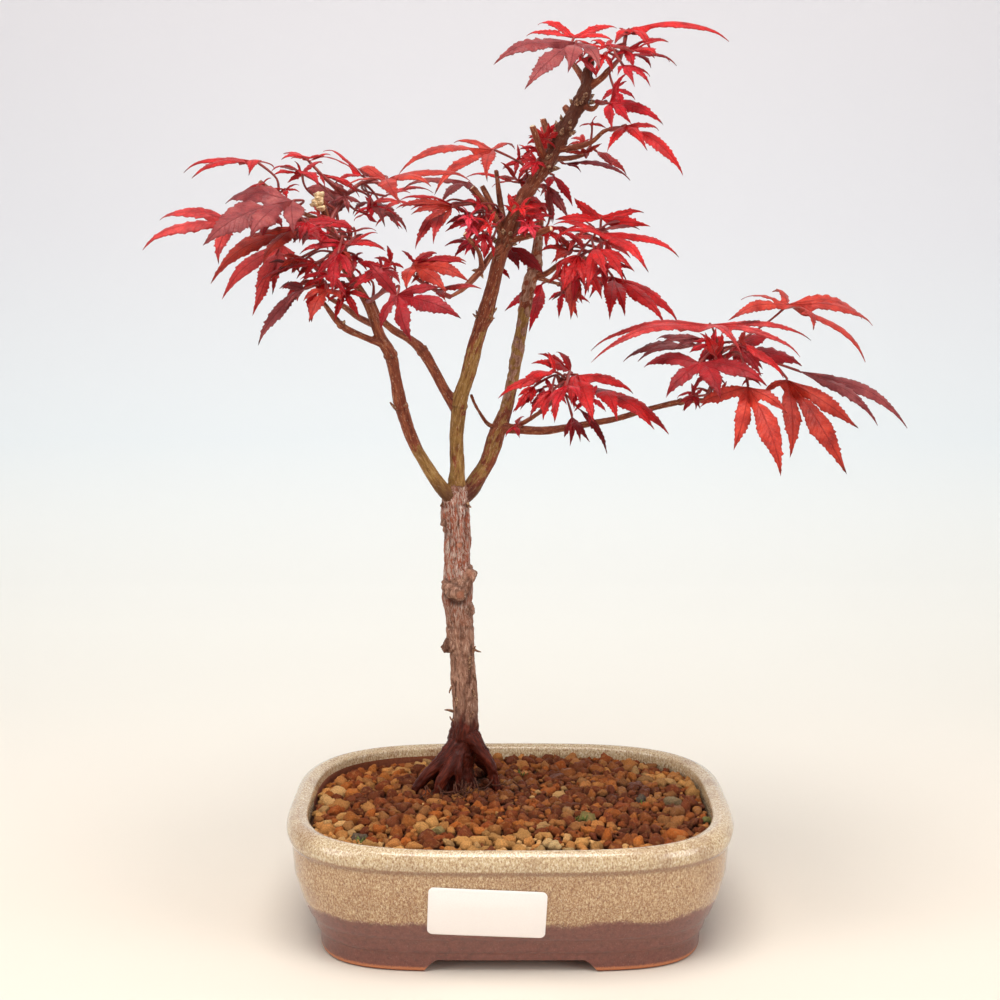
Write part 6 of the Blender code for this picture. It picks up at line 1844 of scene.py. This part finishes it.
def build_spray(index, name, spray, leaf_material, shoot_material):
    """One young shoot with its leaves and their stalks."""
    points, faces, veins, forms, tones = [], [], [], [], []
    for k, leaf in enumerate(spray.leaves):
        blade = Blade(leaf, 100 * index + k)
        part, part_faces, part_veins, part_forms = blade_solid(blade)
        base = len(points)
        points += part
        faces += [tuple(base + c for c in face) for face in part_faces]
        veins += part_veins
        forms += part_forms
        tint = blade.draw.uniform(0.88, 1.14)
        tones += [[c * tint for c in TONES[leaf.tone]]] * len(part)
    leafy = len(faces)
    for leaf in spray.leaves:
        tube(stalk_line(Blade(leaf, 100 * index), spray.shoot), STALK_SIDES, points, faces)
    radii = [SHOOT_RADIUS * (1.1 - 0.1 * k) for k in range(len(spray.shoot))]
    tube(smooth_line([(*p, r) for p, r in zip(spray.shoot, radii)], 1.2), SHOOT_SIDES, points, faces)
    bare = len(points) - len(forms)
    veins += [((0, 0),) * len(face) for face in faces[leafy:]]
    piece = mesh_object("leaves_" + name, points, faces, [leaf_material, shoot_material])
    for face in piece.data.polygons[leafy:]:
        face.material_index = 1
    paint(piece, "leaf_tone", tones + [(0.2, 0.02, 0.02)] * bare)
    paint(piece, "leaf_form", forms + [(0, 0, 0)] * bare)
    layer = piece.data.uv_layers.new(name="vein")
    layer.data.foreach_set("uv", [c for vein in veins for uv in vein for c in uv])
    crease(piece, 60)
    declare(piece, "leaves", "spray_" + name)


# Stage

def build_stage(look):
    """A floor that sweeps up into a backdrop."""
    section = [(SWEEP_FRONT, 0), (SWEEP_SEAM, 0), (SWEEP_BACK, 0)]
    for degrees in range(5, 91, 5):
        back, down = math.sin(math.radians(degrees)), math.cos(math.radians(degrees))
        section.append((SWEEP_BACK + SWEEP_RADIUS * back, SWEEP_RADIUS - SWEEP_RADIUS * down))
    section.append((SWEEP_BACK + SWEEP_RADIUS, SWEEP_TOP))
    points, faces, count = [(x, y, z) for x in SWEEP_SPANS for y, z in section], [], len(section)
    for i in range(len(SWEEP_SPANS) - 1):
        for a in range(i * count, i * count + count - 1):
            faces.append((a, a + count, a + count + 1, a + 1))
    mesh_object("studio_sweep", points, faces, [look])


def add_light(name, place, aim, size, power, colour):
    data = bpy.data.lights.new(name, "AREA")
    data.shape, data.size, data.energy, data.color = "DISK", size, power, colour
    light = bpy.data.objects.new(name, data)
    light.location = place
    light.rotation_euler = (Vector(aim) - Vector(place)).to_track_quat("-Z", "Y").to_euler()
    bpy.context.scene.collection.objects.link(light)


def light_and_camera():
    for light in LIGHTS:
        add_light(*light)
    world = bpy.data.worlds.new("studio")
    world.use_nodes = True
    world.node_tree.nodes["Background"].inputs["Color"].default_value = WORLD_COLOUR
    world.node_tree.nodes["Background"].inputs["Strength"].default_value = WORLD_STRENGTH
    bpy.context.scene.world = world
    data = bpy.data.cameras.new("camera")
    data.sensor_width, data.lens = 36.0, LENS
    camera = bpy.data.objects.new("camera", data)
    camera.location = ORIGIN + Vector(CAMERA_PLACE) * MM
    camera.rotation_euler = (math.radians(90 - CAMERA_DIP), 0, 0)
    bpy.context.scene.collection.objects.link(camera)
    bpy.context.scene.camera = camera
    bpy.context.scene.view_settings.view_transform = "Standard"


def main():
    light_and_camera()
    build_pot(glaze_look(), clay_look())
    net = net_look()
    for name in ("drain_net_left", "drain_net_right"):
        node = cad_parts[name]
        node.data.materials.clear()
        node.data.materials.append(net)
        node.material_slots[0].link = "OBJECT"
        node.material_slots[0].material = net
    grains, bark, shoots, leaves = grain_look(), bark_look(), shoot_look(), leaf_look()
    soil_bed(grains)
    build_grains(grains)
    build_moss(moss_look())
    build_label(paper_look())
    build_fine_roots(root_look())
    build_tree(bark)
    scales = scale_look()
    build_buds(scales)
    build_scraps(scales)
    build_callus(callus_look())
    for index, (name, spray) in enumerate(SPRAYS.items()):
        build_spray(index, name, spray, leaves, shoots)
    build_stage(stage_look())


main()
